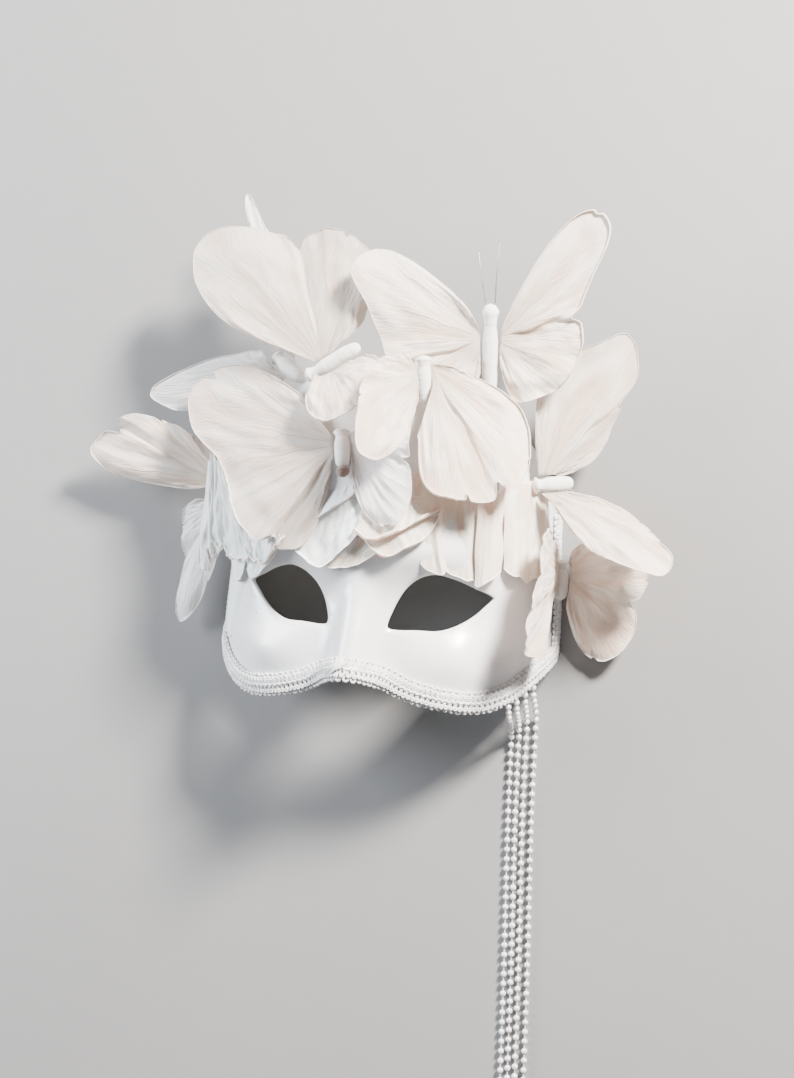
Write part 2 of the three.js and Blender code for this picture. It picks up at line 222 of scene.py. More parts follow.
def ramp(tree, value, low, high, bottom=0.0, top=1.0):
    """Smooth step from bottom to top as value goes from low to high."""
    node = add_node(tree, "ShaderNodeMapRange",
                    {"Value": value, "From Min": low, "From Max": high, "To Min": bottom, "To Max": top},
                    interpolation_type="SMOOTHSTEP")
    return node.outputs["Result"]


def slide(tree, share, low, high):
    """The value that lies this share of the way from low to high."""
    node = add_node(tree, "ShaderNodeMapRange", {"Value": share, "To Min": low, "To Max": high})
    return node.outputs["Result"]


def object_spot(tree):
    return add_node(tree, "ShaderNodeTexCoord").outputs["Object"]


def speckle(tree, spot, scale, detail, roughness=0.5, distortion=0.0, **settings):
    """Noise over the surface."""
    node = add_node(tree, "ShaderNodeTexNoise",
                    {"Vector": spot, "Scale": scale, "Detail": detail, "Roughness": roughness,
                     "Distortion": distortion}, **settings)
    return node.outputs[0]


def mask_of(tree, name):
    """A mask that the mesh carries."""
    return add_node(tree, "ShaderNodeAttribute", attribute_name=name).outputs["Fac"]


# Effects that several materials share
def tint(red, green, blue):
    return (red, green, blue, 1.0)


def dulled(colour, red, green, blue):
    """The colour with its parts brought down to these shares."""
    return tint(colour[0] * red, colour[1] * green, colour[2] * blue)


def uneven_tone_group():
    """Two tones that drift over the surface, with fine grain: a colour, a roughness and a height."""
    tree, given, out = new_tree(
        "uneven tone", "ShaderNodeTree",
        [("Light", "Color", tint(0.8, 0.8, 0.8)), ("Dark", "Color", tint(0.6, 0.6, 0.6)),
         ("Patch Scale", "Float", 30.0), ("Grain Scale", "Float", 900.0),
         ("Roughness Low", "Float", 0.3), ("Roughness High", "Float", 0.5)],
        [("Color", "Color"), ("Roughness", "Float"), ("Height", "Float")])
    spot = object_spot(tree)
    patches = ramp(tree, speckle(tree, spot, given.outputs["Patch Scale"], detail=3.0), 0.35, 0.65)
    grain = ramp(tree, speckle(tree, spot, given.outputs["Grain Scale"], detail=2.0), 0.3, 0.7)
    blend = add_math(tree, "MULTIPLY_ADD", grain, 0.25, patches)
    darker = add_math(tree, "MULTIPLY", blend, 0.8, limit=True)
    set_inputs(tree, out, {
        "Color": mix_colour(tree, darker, given.outputs["Light"], given.outputs["Dark"]),
        "Roughness": slide(tree, grain, given.outputs["Roughness Low"], given.outputs["Roughness High"]),
        "Height": grain})
    return tree


def vane_group():
    """Masks of a feather sheet: soft streaks and fine fibres along its rays, creases, veins, rim and root."""
    tree, given, out = new_tree(
        "vane", "ShaderNodeTree",
        [("Streaks", "Float", 14.0), ("Fibres", "Float", 170.0), ("Veins", "Float", 7.0)],
        [("Streak", "Float"), ("Fibre", "Float"), ("Crease", "Float"), ("Vein", "Float"), ("Rim", "Float"),
         ("Root", "Float")])
    fan = add_node(tree, "ShaderNodeUVMap", uv_map="fan").outputs[0]
    turn, far, _ = add_node(tree, "ShaderNodeSeparateXYZ", {0: fan}).outputs
    spot = object_spot(tree)
    waver = speckle(tree, spot, scale=38.0, detail=2.0)
    bent = add_math(tree, "MULTIPLY_ADD", waver, 0.09, turn)
    own = add_node(tree, "ShaderNodeVectorMath", {0: spot, 1: (9.0, 14.0, 6.0)}, operation="DOT_PRODUCT")

    def along_rays(across, lengthwise):
        """A spot that runs with the rays, and lies elsewhere in the noise on every wing."""
        node = add_node(tree, "ShaderNodeCombineXYZ",
                        {"X": across, "Y": times(tree, far, lengthwise), "Z": own.outputs["Value"]})
        return node.outputs[0]

    streaks = times(tree, bent, given.outputs["Streaks"])
    fibres = times(tree, bent, given.outputs["Fibres"])
    creases = times(tree, streaks, 2.4)
    streak = speckle(tree, along_rays(streaks, lengthwise=2.2), scale=1.0, detail=2.5, roughness=0.55)
    fibre = speckle(tree, along_rays(fibres, lengthwise=8.0), scale=1.0, detail=3.0, roughness=0.6)
    crease = speckle(tree, along_rays(creases, lengthwise=5.0), scale=1.0, detail=3.0, distortion=0.7,
                     noise_type="RIDGED_MULTIFRACTAL")
    cell = add_math(tree, "FRACT", times(tree, bent, given.outputs["Veins"]))
    offset = add_math(tree, "ABSOLUTE", add_math(tree, "SUBTRACT", cell, 0.5))
    line, fade = ramp(tree, offset, 0.0, 0.05, 1.0, 0.0), ramp(tree, far, 0.3, 0.85, 1.0, 0.0)
    set_inputs(tree, out, {
        "Streak": ramp(tree, streak, 0.4, 0.62), "Fibre": ramp(tree, fibre, 0.3, 0.7),
        "Crease": ramp(tree, crease, 0.3, 1.6), "Vein": times(tree, line, fade),
        "Rim": ramp(tree, far, 0.955, 0.99), "Root": ramp(tree, far, 0.04, 0.4, 1.0, 0.0)})
    return tree


UNEVEN = uneven_tone_group()
VANE = vane_group()


def toned(tree, light, dark, patches, grain, rough):
    """The uneven tone in a material: two colours, the scales of patches and grain, two roughnesses."""
    node = add_node(tree, "ShaderNodeGroup", {
        "Light": light, "Dark": dark, "Patch Scale": patches, "Grain Scale": grain,
        "Roughness Low": rough[0], "Roughness High": rough[1]}, node_tree=UNEVEN)
    return node.outputs


def ray_masks(tree, streaks, fibres, veins):
    """The vane's masks in a material, with how many of each lie across a sheet."""
    node = add_node(tree, "ShaderNodeGroup", {"Streaks": streaks, "Fibres": fibres, "Veins": veins},
                    node_tree=VANE)
    return node.outputs


# Materials
def new_material(name, settings):
    """A material and its Principled shader, with the shader's constant settings."""
    material = bpy.data.materials.new(name)
    material.use_nodes = True
    tree = material.node_tree
    return material, tree, set_inputs(tree, tree.nodes["Principled BSDF"], settings)


def feed_shader(tree, shader, colour, rough, height, strength, depth):
    """Links the colour, the roughness and the bump of a height."""
    bump = add_node(tree, "ShaderNodeBump", {"Height": height, "Strength": strength, "Distance": depth})
    set_inputs(tree, shader, {"Base Color": colour, "Roughness": rough, "Normal": bump.outputs[0]})


# One small bluish-dark dot painted on the varnish.
DARK_DOT = {"at": (-60, -12, 49), "radius": 0.6}


def varnish_material():
    """Glossy white varnish outside with one small bluish-dark dot, plain matt pulp inside."""
    material, tree, shader = new_material("varnished pulp", {
        "IOR": 1.48, "Coat Weight": 0.4, "Coat Roughness": 0.14, "Specular IOR Level": 0.5})
    tone = toned(tree, tint(0.83, 0.84, 0.86), tint(0.74, 0.755, 0.785), patches=22.0, grain=700.0,
                 rough=(0.24, 0.34))
    inside = mask_of(tree, "inside")
    colour = mix_colour(tree, inside, tone["Color"], tint(0.70, 0.675, 0.63))
    spot = object_spot(tree)
    swell = speckle(tree, spot, scale=55.0, detail=1.5)
    paper = times(tree, speckle(tree, spot, scale=420.0, detail=4.0), inside)
    height = add_math(tree, "MULTIPLY_ADD", paper, 1.5, swell)
    off = add_node(tree, "ShaderNodeVectorMath", {0: spot, 1: tuple(place(DARK_DOT["at"]))},
                   operation="DISTANCE")
    near, far = DARK_DOT["radius"] * 0.5 * MM, DARK_DOT["radius"] * 1.4 * MM
    dark_dot = ramp(tree, off.outputs["Value"], near, far, 1.0, 0.0)
    marked = mix_colour(tree, dark_dot, colour, tint(0.22, 0.25, 0.30))
    rough = slide(tree, inside, tone["Roughness"], 0.8)
    feed_shader(tree, shader, marked, rough, height, strength=0.22, depth=0.0006)
    return material


def feather_material(name, light, shade, streaks):
    """Thin silky feather: soft streaks and fibres along the rays, pale veins, a bright rim, a warm root, and
    painted shade where the mesh's shaded mask says.
    """
    material, tree, shader = new_material(name, {
        "Subsurface Weight": 0.3, "Subsurface Scale": 0.004, "Subsurface Radius": (1.0, 0.75, 0.6),
        "Sheen Weight": 0.3, "Sheen Roughness": 0.35, "Specular IOR Level": 0.35})
    tone = toned(tree, light, dulled(light, 0.93, 0.93, 0.93), patches=30.0, grain=700.0, rough=(0.42, 0.62))
    masks = ray_masks(tree, streaks, fibres=170.0, veins=7.0)
    layers = [(masks["Streak"], 0.8, shade), (masks["Fibre"], 0.3, dulled(shade, 0.82, 0.75, 0.7)),
              (masks["Crease"], 0.3, tint(0.95, 0.93, 0.91)), (masks["Vein"], 0.5, tint(0.75, 0.62, 0.55)),
              (masks["Root"], 0.45, tint(0.66, 0.52, 0.43)), (masks["Rim"], 0.8, tint(0.97, 0.96, 0.95)),
              # Painted shade: the wing's fore or hind lobe darkened to grey beige as far as its shaded mask
              # says.
              (mask_of(tree, "shaded"), 0.6, dulled(shade, 0.36, 0.46, 0.52))]
    colour = layered(tree, tone["Color"], layers)
    ribs = add_math(tree, "ADD", times(tree, masks["Fibre"], 0.35), times(tree, masks["Vein"], 0.6))
    height = add_math(tree, "MULTIPLY_ADD", masks["Crease"], 1.5, ribs)
    feed_shader(tree, shader, colour, tone["Roughness"], height, strength=0.8, depth=0.0007)
    return material


def petal_material(name, light, shade):
    """Silk paper petal: soft streaks down its length, warm in places, with fine fibres."""
    material, tree, shader = new_material(name, {
        "Subsurface Weight": 0.25, "Subsurface Scale": 0.004, "Sheen Weight": 0.25,
        "Specular IOR Level": 0.35})
    tone = toned(tree, light, dulled(light, 0.92, 0.92, 0.92), patches=45.0, grain=900.0, rough=(0.42, 0.62))
    masks = ray_masks(tree, streaks=6.0, fibres=90.0, veins=3.0)
    layers = [(masks["Streak"], 0.6, shade), (masks["Fibre"], 0.2, dulled(shade, 0.85, 0.8, 0.77)),
              (masks["Rim"], 0.7, tint(0.96, 0.95, 0.94))]
    colour = layered(tree, tone["Color"], layers)
    fibres = times(tree, speckle(tree, object_spot(tree), scale=1300.0, detail=4.0), 0.5)
    height = add_math(tree, "MULTIPLY_ADD", masks["Crease"], 1.2, fibres)
    feed_shader(tree, shader, colour, tone["Roughness"], height, strength=0.45, depth=0.0005)
    return material


def felt_material():
    """Smooth white pressed pulp of the bodies, with a fine thread line at the neck and a brown tail end."""
    material, tree, shader = new_material("white pulp", {"Sheen Weight": 0.3, "Specular IOR Level": 0.3})
    tone = toned(tree, tint(0.90, 0.89, 0.87), tint(0.80, 0.785, 0.76), patches=120.0, grain=1600.0,
                 rough=(0.6, 0.8))
    colour = mix_colour(tree, mask_of(tree, "browning"), tone["Color"], tint(0.17, 0.09, 0.06))
    fluff = speckle(tree, object_spot(tree), scale=900.0, detail=5.0, roughness=0.7)
    feed_shader(tree, shader, colour, tone["Roughness"], fluff, strength=0.35, depth=0.0005)
    return material


def thread_material(name, light, dark, metallic):
    """Silver-white thread, twisted finely."""
    material, tree, shader = new_material(name, {"Metallic": metallic, "Sheen Weight": 0.2})
    tone = toned(tree, light, dark, patches=300.0, grain=2500.0, rough=(0.32, 0.6))
    twist = add_node(tree, "ShaderNodeTexWave",
                     {"Vector": object_spot(tree), "Scale": 900.0, "Distortion": 3.0},
                     bands_direction="DIAGONAL")
    feed_shader(tree, shader, tone["Color"], tone["Roughness"], twist.outputs["Fac"], strength=0.5,
                depth=0.0003)
    return material


def grained_material(name, settings, strength, **finish):
    """A toned material whose bump is the tone's own grain."""
    material, tree, shader = new_material(name, settings)
    tone = toned(tree, **finish)
    feed_shader(tree, shader, tone["Color"], tone["Roughness"], tone["Height"], strength, depth=0.0002)
    return material


def pearl_material():
    """Pearl lacquer: a soft layer under a hard coat, tinted a little from bead to bead."""
    lacquer = {"Coat Weight": 0.8, "Coat Roughness": 0.08, "IOR": 1.6, "Metallic": 0.12}
    return grained_material("pearl", lacquer, strength=0.08, light=tint(0.86, 0.85, 0.87),
                            dark=tint(0.72, 0.70, 0.72), patches=260.0, grain=3000.0, rough=(0.22, 0.32))


def wire_material():
    """Thin silver-grey wire, worn a little."""
    return grained_material("grey wire", {"Metallic": 0.8}, strength=0.2, light=tint(0.42, 0.41, 0.40),
                            dark=tint(0.26, 0.25, 0.24), patches=200.0, grain=2600.0, rough=(0.35, 0.55))


VARNISH = varnish_material()
# Two copies of one ivory feather: one tinted with painted warm light and beige shade, one with painted bluish
# skylight.
FEATHER_WARM_LIT = feather_material("feather, painted warm light and shade", tint(0.95, 0.855, 0.77), tint(0.79, 0.56, 0.44), 11.0)
FEATHER_SKY_LIT = feather_material("feather, painted bluish skylight", tint(0.95, 0.94, 0.935), tint(0.78, 0.71, 0.68), 13.0)
FELT = felt_material()
SILK_WARM = petal_material("warm silk paper", tint(0.95, 0.85, 0.77), tint(0.78, 0.55, 0.43))
SILK_WHITE = petal_material("white silk paper", tint(0.96, 0.955, 0.955), tint(0.82, 0.775, 0.77))
THREAD = thread_material("silver thread", tint(0.90, 0.90, 0.90), tint(0.70, 0.70, 0.72), 0.12)
# The braid's ground is dark grey: painted shade showing through the gaps between the loops.
HOLE_SHADE_GROUND = thread_material("braid ground, painted shade of the holes", tint(0.32, 0.31, 0.32), tint(0.20, 0.19, 0.20), 0.1)
PEARL = pearl_material()
WIRE = wire_material()


# Meshes and pieces
def mesh_of(name, points, faces):
    """A mesh from face-frame points in millimetres."""
    mesh = bpy.data.meshes.new(name)
    spots = (np.array(points, float).reshape(-1, 3) - np.array(ORIGIN_AT)) * MM
    mesh.from_pydata(spots.tolist(), [], [tuple(face) for face in faces])
    mesh.update()
    return mesh


def set_uv(mesh, pairs):
    layer = mesh.uv_layers.new(name="fan")
    corners = np.zeros(len(mesh.loops), int)
    mesh.loops.foreach_get("vertex_index", corners)
    layer.data.foreach_set("uv", np.array(pairs, np.float32)[corners].ravel())


def set_mask(mesh, name, values):
    layer = mesh.attributes.new(name, "FLOAT", "POINT")
    layer.data.foreach_set("value", np.array(values, np.float32))


def grid_normals(grid):
    normal = np.cross(np.gradient(grid, axis=1), np.gradient(grid, axis=0))
    return normal / np.maximum(np.linalg.norm(normal, axis=2, keepdims=True), 1e-9)


def sheet_mesh(name, grid, thickness):
    """A closed thin sheet round a grid of points [row][column]; thickness may vary over the grid."""
    rows, columns = grid.shape[0], grid.shape[1]
    lift = grid_normals(grid) * (np.ones((rows, columns)) * thickness / 2)[:, :, None]
    points = np.concatenate([(grid + lift).reshape(-1, 3), (grid - lift).reshape(-1, 3)])
    top = np.arange(rows * columns).reshape(rows, columns)
    low = top + rows * columns
    faces = []

    def strip(a, b, c, d):
        faces.extend(np.stack([a.ravel(), b.ravel(), c.ravel(), d.ravel()], axis=1).tolist())

    strip(top[:-1, :-1], top[:-1, 1:], top[1:, 1:], top[1:, :-1])
    strip(low[:-1, :-1], low[1:, :-1], low[1:, 1:], low[:-1, 1:])
    strip(low[0, :-1], low[0, 1:], top[0, 1:], top[0, :-1])
    strip(top[-1, :-1], top[-1, 1:], low[-1, 1:], low[-1, :-1])
    strip(top[:-1, 0], top[1:, 0], low[1:, 0], low[:-1, 0])
    strip(low[:-1, -1], low[1:, -1], top[1:, -1], top[:-1, -1])
    mesh = mesh_of(name, points, faces)
    v, u = np.meshgrid(np.linspace(0, 1, rows), np.linspace(0, 1, columns), indexing="ij")
    pairs = np.stack([u.ravel(), v.ravel()], axis=1)
    set_uv(mesh, np.concatenate([pairs, pairs]))
    return mesh


def side_axes(axis):
    """Two directions square to an axis and to each other."""
    helper = Vector((0, 0, 1)) if abs(axis.z) < 0.9 else Vector((1, 0, 0))
    first = axis.cross(helper).normalized()
    return first, axis.cross(first).normalized()


def spokes(first, second, count):
    """The angles round a ring, each with the direction it points in."""
    for k in range(count):
        angle = 2 * math.pi * k / count
        yield angle, first * math.cos(angle) + second * math.sin(angle)


def ring_faces(rings, sides):
    """Faces between rings of points that follow each other."""
    faces = []
    for ring in range(rings - 1):
        for side in range(sides):
            a, b = ring * sides + side, ring * sides + (side + 1) % sides
            faces.append((a, b, b + sides, a + sides))
    return faces


def tube_mesh(name, path, radii, sides=7):
    """A closed tube along a path of points, with a radius at each."""
    points = []
    first = side_axes((path[1] - path[0]).normalized())[0]
    for i, point in enumerate(path):
        tangent = (path[min(i + 1, len(path) - 1)] - path[max(i - 1, 0)]).normalized()
        first = (first - tangent * first.dot(tangent)).normalized()
        points += [point + spoke * radii[i] for _, spoke in spokes(first, tangent.cross(first), sides)]
    last = (len(path) - 1) * sides
    caps = [tuple(reversed(range(sides))), tuple(last + k for k in range(sides))]
    return mesh_of(name, points, ring_faces(len(path), sides) + caps)


def add_object(name, mesh, material):
    if not mesh.materials:
        mesh.materials.append(material)
    for polygon in mesh.polygons:
        polygon.use_smooth = True
    return linked(name, mesh)


def add_piece(name, meshes, material, slot, *nodes):
    """One piece from its meshes, on the body, with the solids that it replaces hidden. Its slot is not used.
    """
    parts = [add_object(f"{name}_{i}", mesh, material) for i, mesh in enumerate(meshes)]
    piece = parts[0]
    if len(parts) > 1:
        with bpy.context.temp_override(active_object=piece, selected_editable_objects=parts):
            bpy.ops.object.join()
    piece.name = name
    piece.data.name = name
    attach(piece, BODY)
    if nodes:
        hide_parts(*nodes)
    return piece


# Geometry Nodes helpers
def end_maker(tree, given, out, geometry):
    """The end of a geometry tree: its instances made real, with the material that is given."""
    whole = add_node(tree, "GeometryNodeRealizeInstances", {"Geometry": geometry})
    finished = add_node(tree, "GeometryNodeSetMaterial",
                        {"Geometry": whole.outputs[0], "Material": given.outputs["Material"]})
    set_inputs(tree, out, {"Geometry": finished.outputs[0]})
    return tree


def made_by(name, carrier, tree, values):
    """Runs a geometry tree on a carrier object and keeps the result as a plain mesh."""
    modifier = carrier.modifiers.new(name, "NODES")
    modifier.node_group = tree
    for item in tree.interface.items_tree:
        if item.in_out == "INPUT" and item.name in values:
            modifier[item.identifier] = values[item.name]
    bpy.context.view_layer.update()
    graph = bpy.context.evaluated_depsgraph_get()
    mesh = bpy.data.meshes.new_from_object(carrier.evaluated_get(graph))
    mesh.name = name
    bpy.data.objects.remove(carrier)
    return mesh


# Bead strands: each starts at the braid, drops to the floor and follows a lane of (y, x) along it
BEAD = {"diameter": 3.4, "pitch": 4.9, "thread": 0.35, "least": 0.95, "segments": 10, "rings": 6}
FLOOR_Z = BEAD["diameter"] / 2 + 0.1
LANE_STATIONS = [(-258, 78.8), (-183, 75.7), (-126, 72.8), (-80, 70.8)]
LANE_POINTS = 6
STRAND_DROP = [(5, 0.8), (11, 0.35), (18, 0.04), (26, 0)]
ROUTE_STEPS = 12
STRANDS = [
    {"name": "bead_strand_1", "start": (74, -49.5, 34), "end_y": -250, "shift": 0},
    {"name": "bead_strand_2", "start": (77.3, -47, 30), "end_y": -258, "shift": 3.8},
    {"name": "bead_strand_3", "start": (80.5, -43, 25), "end_y": -247, "shift": 7.7},
    {"name": "bead_strand_4", "start": (83.5, -39, 20), "end_y": -253, "shift": 12.4},
]


def strand_route(plan):
    """The strand's start, its drop as (out, share of the way up), and its lane on the floor."""
    start = Vector(plan["start"])

    def lane_at(y):
        return through(LANE_STATIONS, y) + plan["shift"]

    drop = [Vector((lerp(lane_at(start.y), start.x, share), start.y - out, lerp(FLOOR_Z, start.z, share)))
            for out, share in STRAND_DROP]
    floor = []
    for i in range(LANE_POINTS):
        y = lerp(drop[-1].y, plan["end_y"], (i + 1) / LANE_POINTS)
        floor.append(Vector((lane_at(y), y, FLOOR_Z)))
    return [start, *drop, *floor]


def bead_tree():
    """Beads at an even pitch along a curve, on a thin thread."""
    tree, given, out = new_tree(
        "bead strand", "GeometryNodeTree",
        [("Geometry", "Geometry", None), ("Bead Pitch", "Float", BEAD["pitch"] * MM),
         ("Bead Radius", "Float", BEAD["diameter"] * MM / 2), ("Thread Radius", "Float", BEAD["thread"] * MM),
         ("Material", "Material", None)],
        [("Geometry", "Geometry")])
    line = given.outputs["Geometry"]
    spots = add_node(tree, "GeometryNodeResampleCurve",
                     {"Curve": line, "Length": given.outputs["Bead Pitch"]}, mode="LENGTH")
    bead = add_node(tree, "GeometryNodeMeshUVSphere",
                    {"Segments": BEAD["segments"], "Rings": BEAD["rings"],
                     "Radius": given.outputs["Bead Radius"]})
    turn = add_node(tree, "FunctionNodeRandomValue", {"Max": (3.0, 3.0, 3.0), "Seed": 4},
                    data_type="FLOAT_VECTOR")
    size = add_node(tree, "FunctionNodeRandomValue", {2: BEAD["least"], 3: 1.0, "Seed": 7}, data_type="FLOAT")
    beads = add_node(tree, "GeometryNodeInstanceOnPoints",
                     {"Points": spots.outputs[0], "Instance": bead.outputs[0], "Rotation": turn.outputs[0],
                      "Scale": size.outputs[1]})
    ring = add_node(tree, "GeometryNodeCurvePrimitiveCircle",
                    {"Resolution": 5, "Radius": given.outputs["Thread Radius"]})
    thread = add_node(tree, "GeometryNodeCurveToMesh",
                      {"Curve": line, "Profile Curve": ring.outputs[0], "Fill Caps": True})
    both = add_node(tree, "GeometryNodeJoinGeometry", {"Geometry": beads.outputs[0]})
    set_inputs(tree, both, {"Geometry": thread.outputs[0]})
    return end_maker(tree, given, out, both.outputs[0])


def route_curve(spots):
    """An object of one curve through the spots."""
    curve = bpy.data.curves.new("route", "CURVE")
    curve.dimensions = "3D"
    spline = curve.splines.new("POLY")
    spline.points.add(len(spots) - 1)
    for point, spot in zip(spline.points, spots):
        point.co = (*spot, 1.0)
    return linked("route", curve)


def make_strands():
    tree = bead_tree()
    for plan in STRANDS:
        name = f"{plan['name']}_beads"
        spots = [place(point) for point in centripetal(strand_route(plan), ROUTE_STEPS)]
        mesh = made_by(name, route_curve(spots), tree, {
            "Bead Pitch": BEAD["pitch"] * MM, "Bead Radius": BEAD["diameter"] * MM / 2,
            "Thread Radius": BEAD["thread"] * MM, "Material": PEARL})
        beads = add_piece(name, [mesh], PEARL, "pearl", plan["name"])


# Mask shell
SHELL_THICKNESS = 2.5
HALF_WIDTH = 86
DEPTH = 68
SIDE_BOTTOM_Y = -24
DEPTH_STATIONS = [(-54, 65), (-20, 67), (0, DEPTH), (22, 74), (55, 76), (85, 70), (120, 56)]
WIDTH_STATIONS = [(-54, 86), (-30, 89), (-5, 89.5), (30, 87), (60, 85.5), (85, 81.5), (120, 70)]
LOWER_EDGE = [(0, -40), (7, -42), (17, -48), (30, -52), (44, -52.5), (57, -47), (68, -38), (79, -30),
              (90, SIDE_BOTTOM_Y)]
UPPER_EDGE = [(0, 120), (20, 119), (35, 112), (50, 101), (65, 87), (80, 71), (90, 62)]
NOSE = {"top_y": 14, "tip_y": -40, "top_height": 2, "tip_height": 19, "top_width": 7, "tip_width": 12,
        "ease": (-0.2, 0.3)}
BUMPS = [
    {"name": "eye socket", "x": 40, "y": 0, "rise": -5, "wide": 24, "tall": 15},
    {"name": "brow", "x": 32, "y": 24, "rise": 2.5, "wide": 26, "tall": 9},
    {"name": "cheek", "x": 48, "y": -30, "rise": 4, "wide": 19, "tall": 13},
]
EYE_OUTLINE = [(16, -14), (17.5, -4), (23, 6), (30, 12), (38, 14.5), (47, 13), (56, 9.5), (65, 5),
               (60.5, -1), (56, -5.5), (49, -10.5), (41, -13.8), (31, -14.4)]
EYE_STEPS = 7
ARC = math.radians(1) * (HALF_WIDTH + DEPTH) / 2
OUTLINE_STEP = 1.6
SIDE_POINTS = 38
SHELL_PITCH = 2.3
EDGE_CLEARANCE = 0.62 * SHELL_PITCH
RIM_BULGE = 0.7
RIM_CORNER_POWER = 4
RIM_ANGLES = (45, 90, 135)


def relief_at(x, y):
    along = clamp((NOSE["top_y"] - y) / (NOSE["top_y"] - NOSE["tip_y"]))
    height = lerp(NOSE["top_height"], NOSE["tip_height"], along) * smoothstep(*NOSE["ease"], along)
    rise = height * bell(x, lerp(NOSE["top_width"], NOSE["tip_width"], along))
    for bump in BUMPS:
        rise += bump["rise"] * bell(abs(x) - bump["x"], bump["wide"]) * bell(y - bump["y"], bump["tall"])
    return rise


def face_point(turn, y):
    """Point on the outside of the shell: turn runs from -90 to 90 degrees, in radians."""
    x = through(WIDTH_STATIONS, y) * math.sin(turn)
    fade = math.cos(turn)
    relief = relief_at(x, y) * min(1, fade * 2)
    return Vector((x + relief * math.sin(turn), y, (through(DEPTH_STATIONS, y) + relief) * fade))


def face_normal(turn, y):
    small = 0.01
    across = face_point(turn + small, y) - face_point(turn - small, y)
    up = face_point(turn, y + 1) - face_point(turn, y - 1)
    return across.cross(up).normalized()


def turn_at(x, y):
    """The turn whose point on the face has this x."""
    turn = 0.0
    for _ in range(8):
        reach = through(WIDTH_STATIONS, y) + relief_at(x, y) * min(1, 2 * math.cos(turn))
        turn = math.asin(clamp(x / reach, -1, 1))
    return turn


def flat_outline():
    """The shell's edge on the flat map of (degrees times arc, y), anticlockwise."""
    turns = np.arange(-90, 90, OUTLINE_STEP)
    low, high = LOWER_EDGE[-1][1], UPPER_EDGE[-1][1]
    bottom = [(d * ARC, through(LOWER_EDGE, abs(d))) for d in turns]
    right = [(90 * ARC, y) for y in np.linspace(low, high, SIDE_POINTS)[:-1]]
    top = [(-d * ARC, through(UPPER_EDGE, abs(d))) for d in turns]
    left = [(-90 * ARC, y) for y in np.linspace(high, low, SIDE_POINTS)[:-1]]
    return bottom + right + top + left


def flat_eye(side):
    """An eye hole's smooth outline on the flat map."""
    corners = [Vector((side * x, y, 0)) for x, y in EYE_OUTLINE]
    count = len(corners)
    outline = []
    for i in range(count):
        for spot in span_points([corners[(i + k) % count] for k in (-1, 0, 1, 2)], EYE_STEPS):
            outline.append((math.degrees(turn_at(spot.x, spot.y)) * ARC, spot.y))
    return outline


def holds(outline, x, y):
    """Whether a flat outline goes round the point."""
    inside = False
    for (ax, ay), (bx, by) in zip(outline, outline[1:] + outline[:1]):
        if (ay > y) != (by > y) and x < ax + (y - ay) / (by - ay) * (bx - ax):
            inside = not inside
    return inside


def flat_triangles():
    """Even triangles over the shell's flat map, without the eye holes: points, triangles."""
    loops = [flat_outline(), flat_eye(1), flat_eye(-1)]

    def on_shell(x, y):
        return holds(loops[0], x, y) and not holds(loops[1], x, y) and not holds(loops[2], x, y)

    fixed = np.array([spot for loop in loops for spot in loop])
    edges = []
    start = 0
    for loop in loops:
        edges += [(start + i, start + (i + 1) % len(loop)) for i in range(len(loop))]
        start += len(loop)
    points = [Vector(spot) for spot in fixed]
    row_step = SHELL_PITCH * math.sqrt(3) / 2
    for row, y in enumerate(np.arange(fixed[:, 1].min(), fixed[:, 1].max(), row_step)):
        for x in np.arange(-90 * ARC + (row % 2) * SHELL_PITCH / 2, 90 * ARC, SHELL_PITCH):
            near = np.min((fixed[:, 0] - x) ** 2 + (fixed[:, 1] - y) ** 2)
            if near > EDGE_CLEARANCE ** 2 and on_shell(x, y):
                points.append(Vector((x, y)))
    spots, _, triangles, *_ = delaunay_2d_cdt(points, edges, [], 0, 1e-5)
    middles = [[sum(spots[i][axis] for i in triangle) / 3 for axis in (0, 1)] for triangle in triangles]
    return spots, [tuple(triangle) for triangle, middle in zip(triangles, middles) if on_shell(*middle)]


def rim_point(outer, inner, normal, before, following, angle):
    """A point of the rounded rim, this far round from the outside to the inside."""
    outward = (following - before).normalized().cross(normal).normalized()
    straight = (following - outer).normalized().dot((outer - before).normalized())
    bulge = RIM_BULGE * max(0.0, straight) ** RIM_CORNER_POWER
    turn = math.radians(angle)
    point = ((outer + inner) / 2 + normal * (SHELL_THICKNESS / 2 * math.cos(turn))
             + outward * (bulge * math.sin(turn)))
    point.z = max(point.z, 0.0)
    return point


def make_shell():
    """Outside, inside and a rounded rim along every open edge, as one closed skin."""
    spots, triangles = flat_triangles()
    places = [(math.radians(spot.x / ARC), spot.y) for spot in spots]
    normals = [face_normal(*where) for where in places]
    outer = [face_point(*where) for where in places]
    inner = [point - normal * SHELL_THICKNESS for point, normal in zip(outer, normals)]
    count = len(outer)
    points = outer + inner
    faces = triangles + [(count + c, count + b, count + a) for a, b, c in triangles]
    directed = {edge for a, b, c in triangles for edge in ((a, b), (b, c), (c, a))}
    following = {a: b for a, b in directed if (b, a) not in directed}
    before = {b: a for a, b in following.items()}
    rings = {}
    for i in following:
        rings[i] = [i, *range(len(points), len(points) + len(RIM_ANGLES)), count + i]
        points += [rim_point(outer[i], inner[i], normals[i], outer[before[i]], outer[following[i]], angle)
                   for angle in RIM_ANGLES]
    for a, b in following.items():
        for k in range(len(RIM_ANGLES) + 1):
            faces.append((rings[b][k], rings[a][k], rings[a][k + 1], rings[b][k + 1]))
    mesh = mesh_of("mask_shell", points, faces)
    set_mask(mesh, "inside", [1.0 if count <= i < 2 * count else 0.0 for i in range(len(points))])
    add_piece("mask_shell_varnished", [mesh], VARNISH, "shell", "mask_shell")


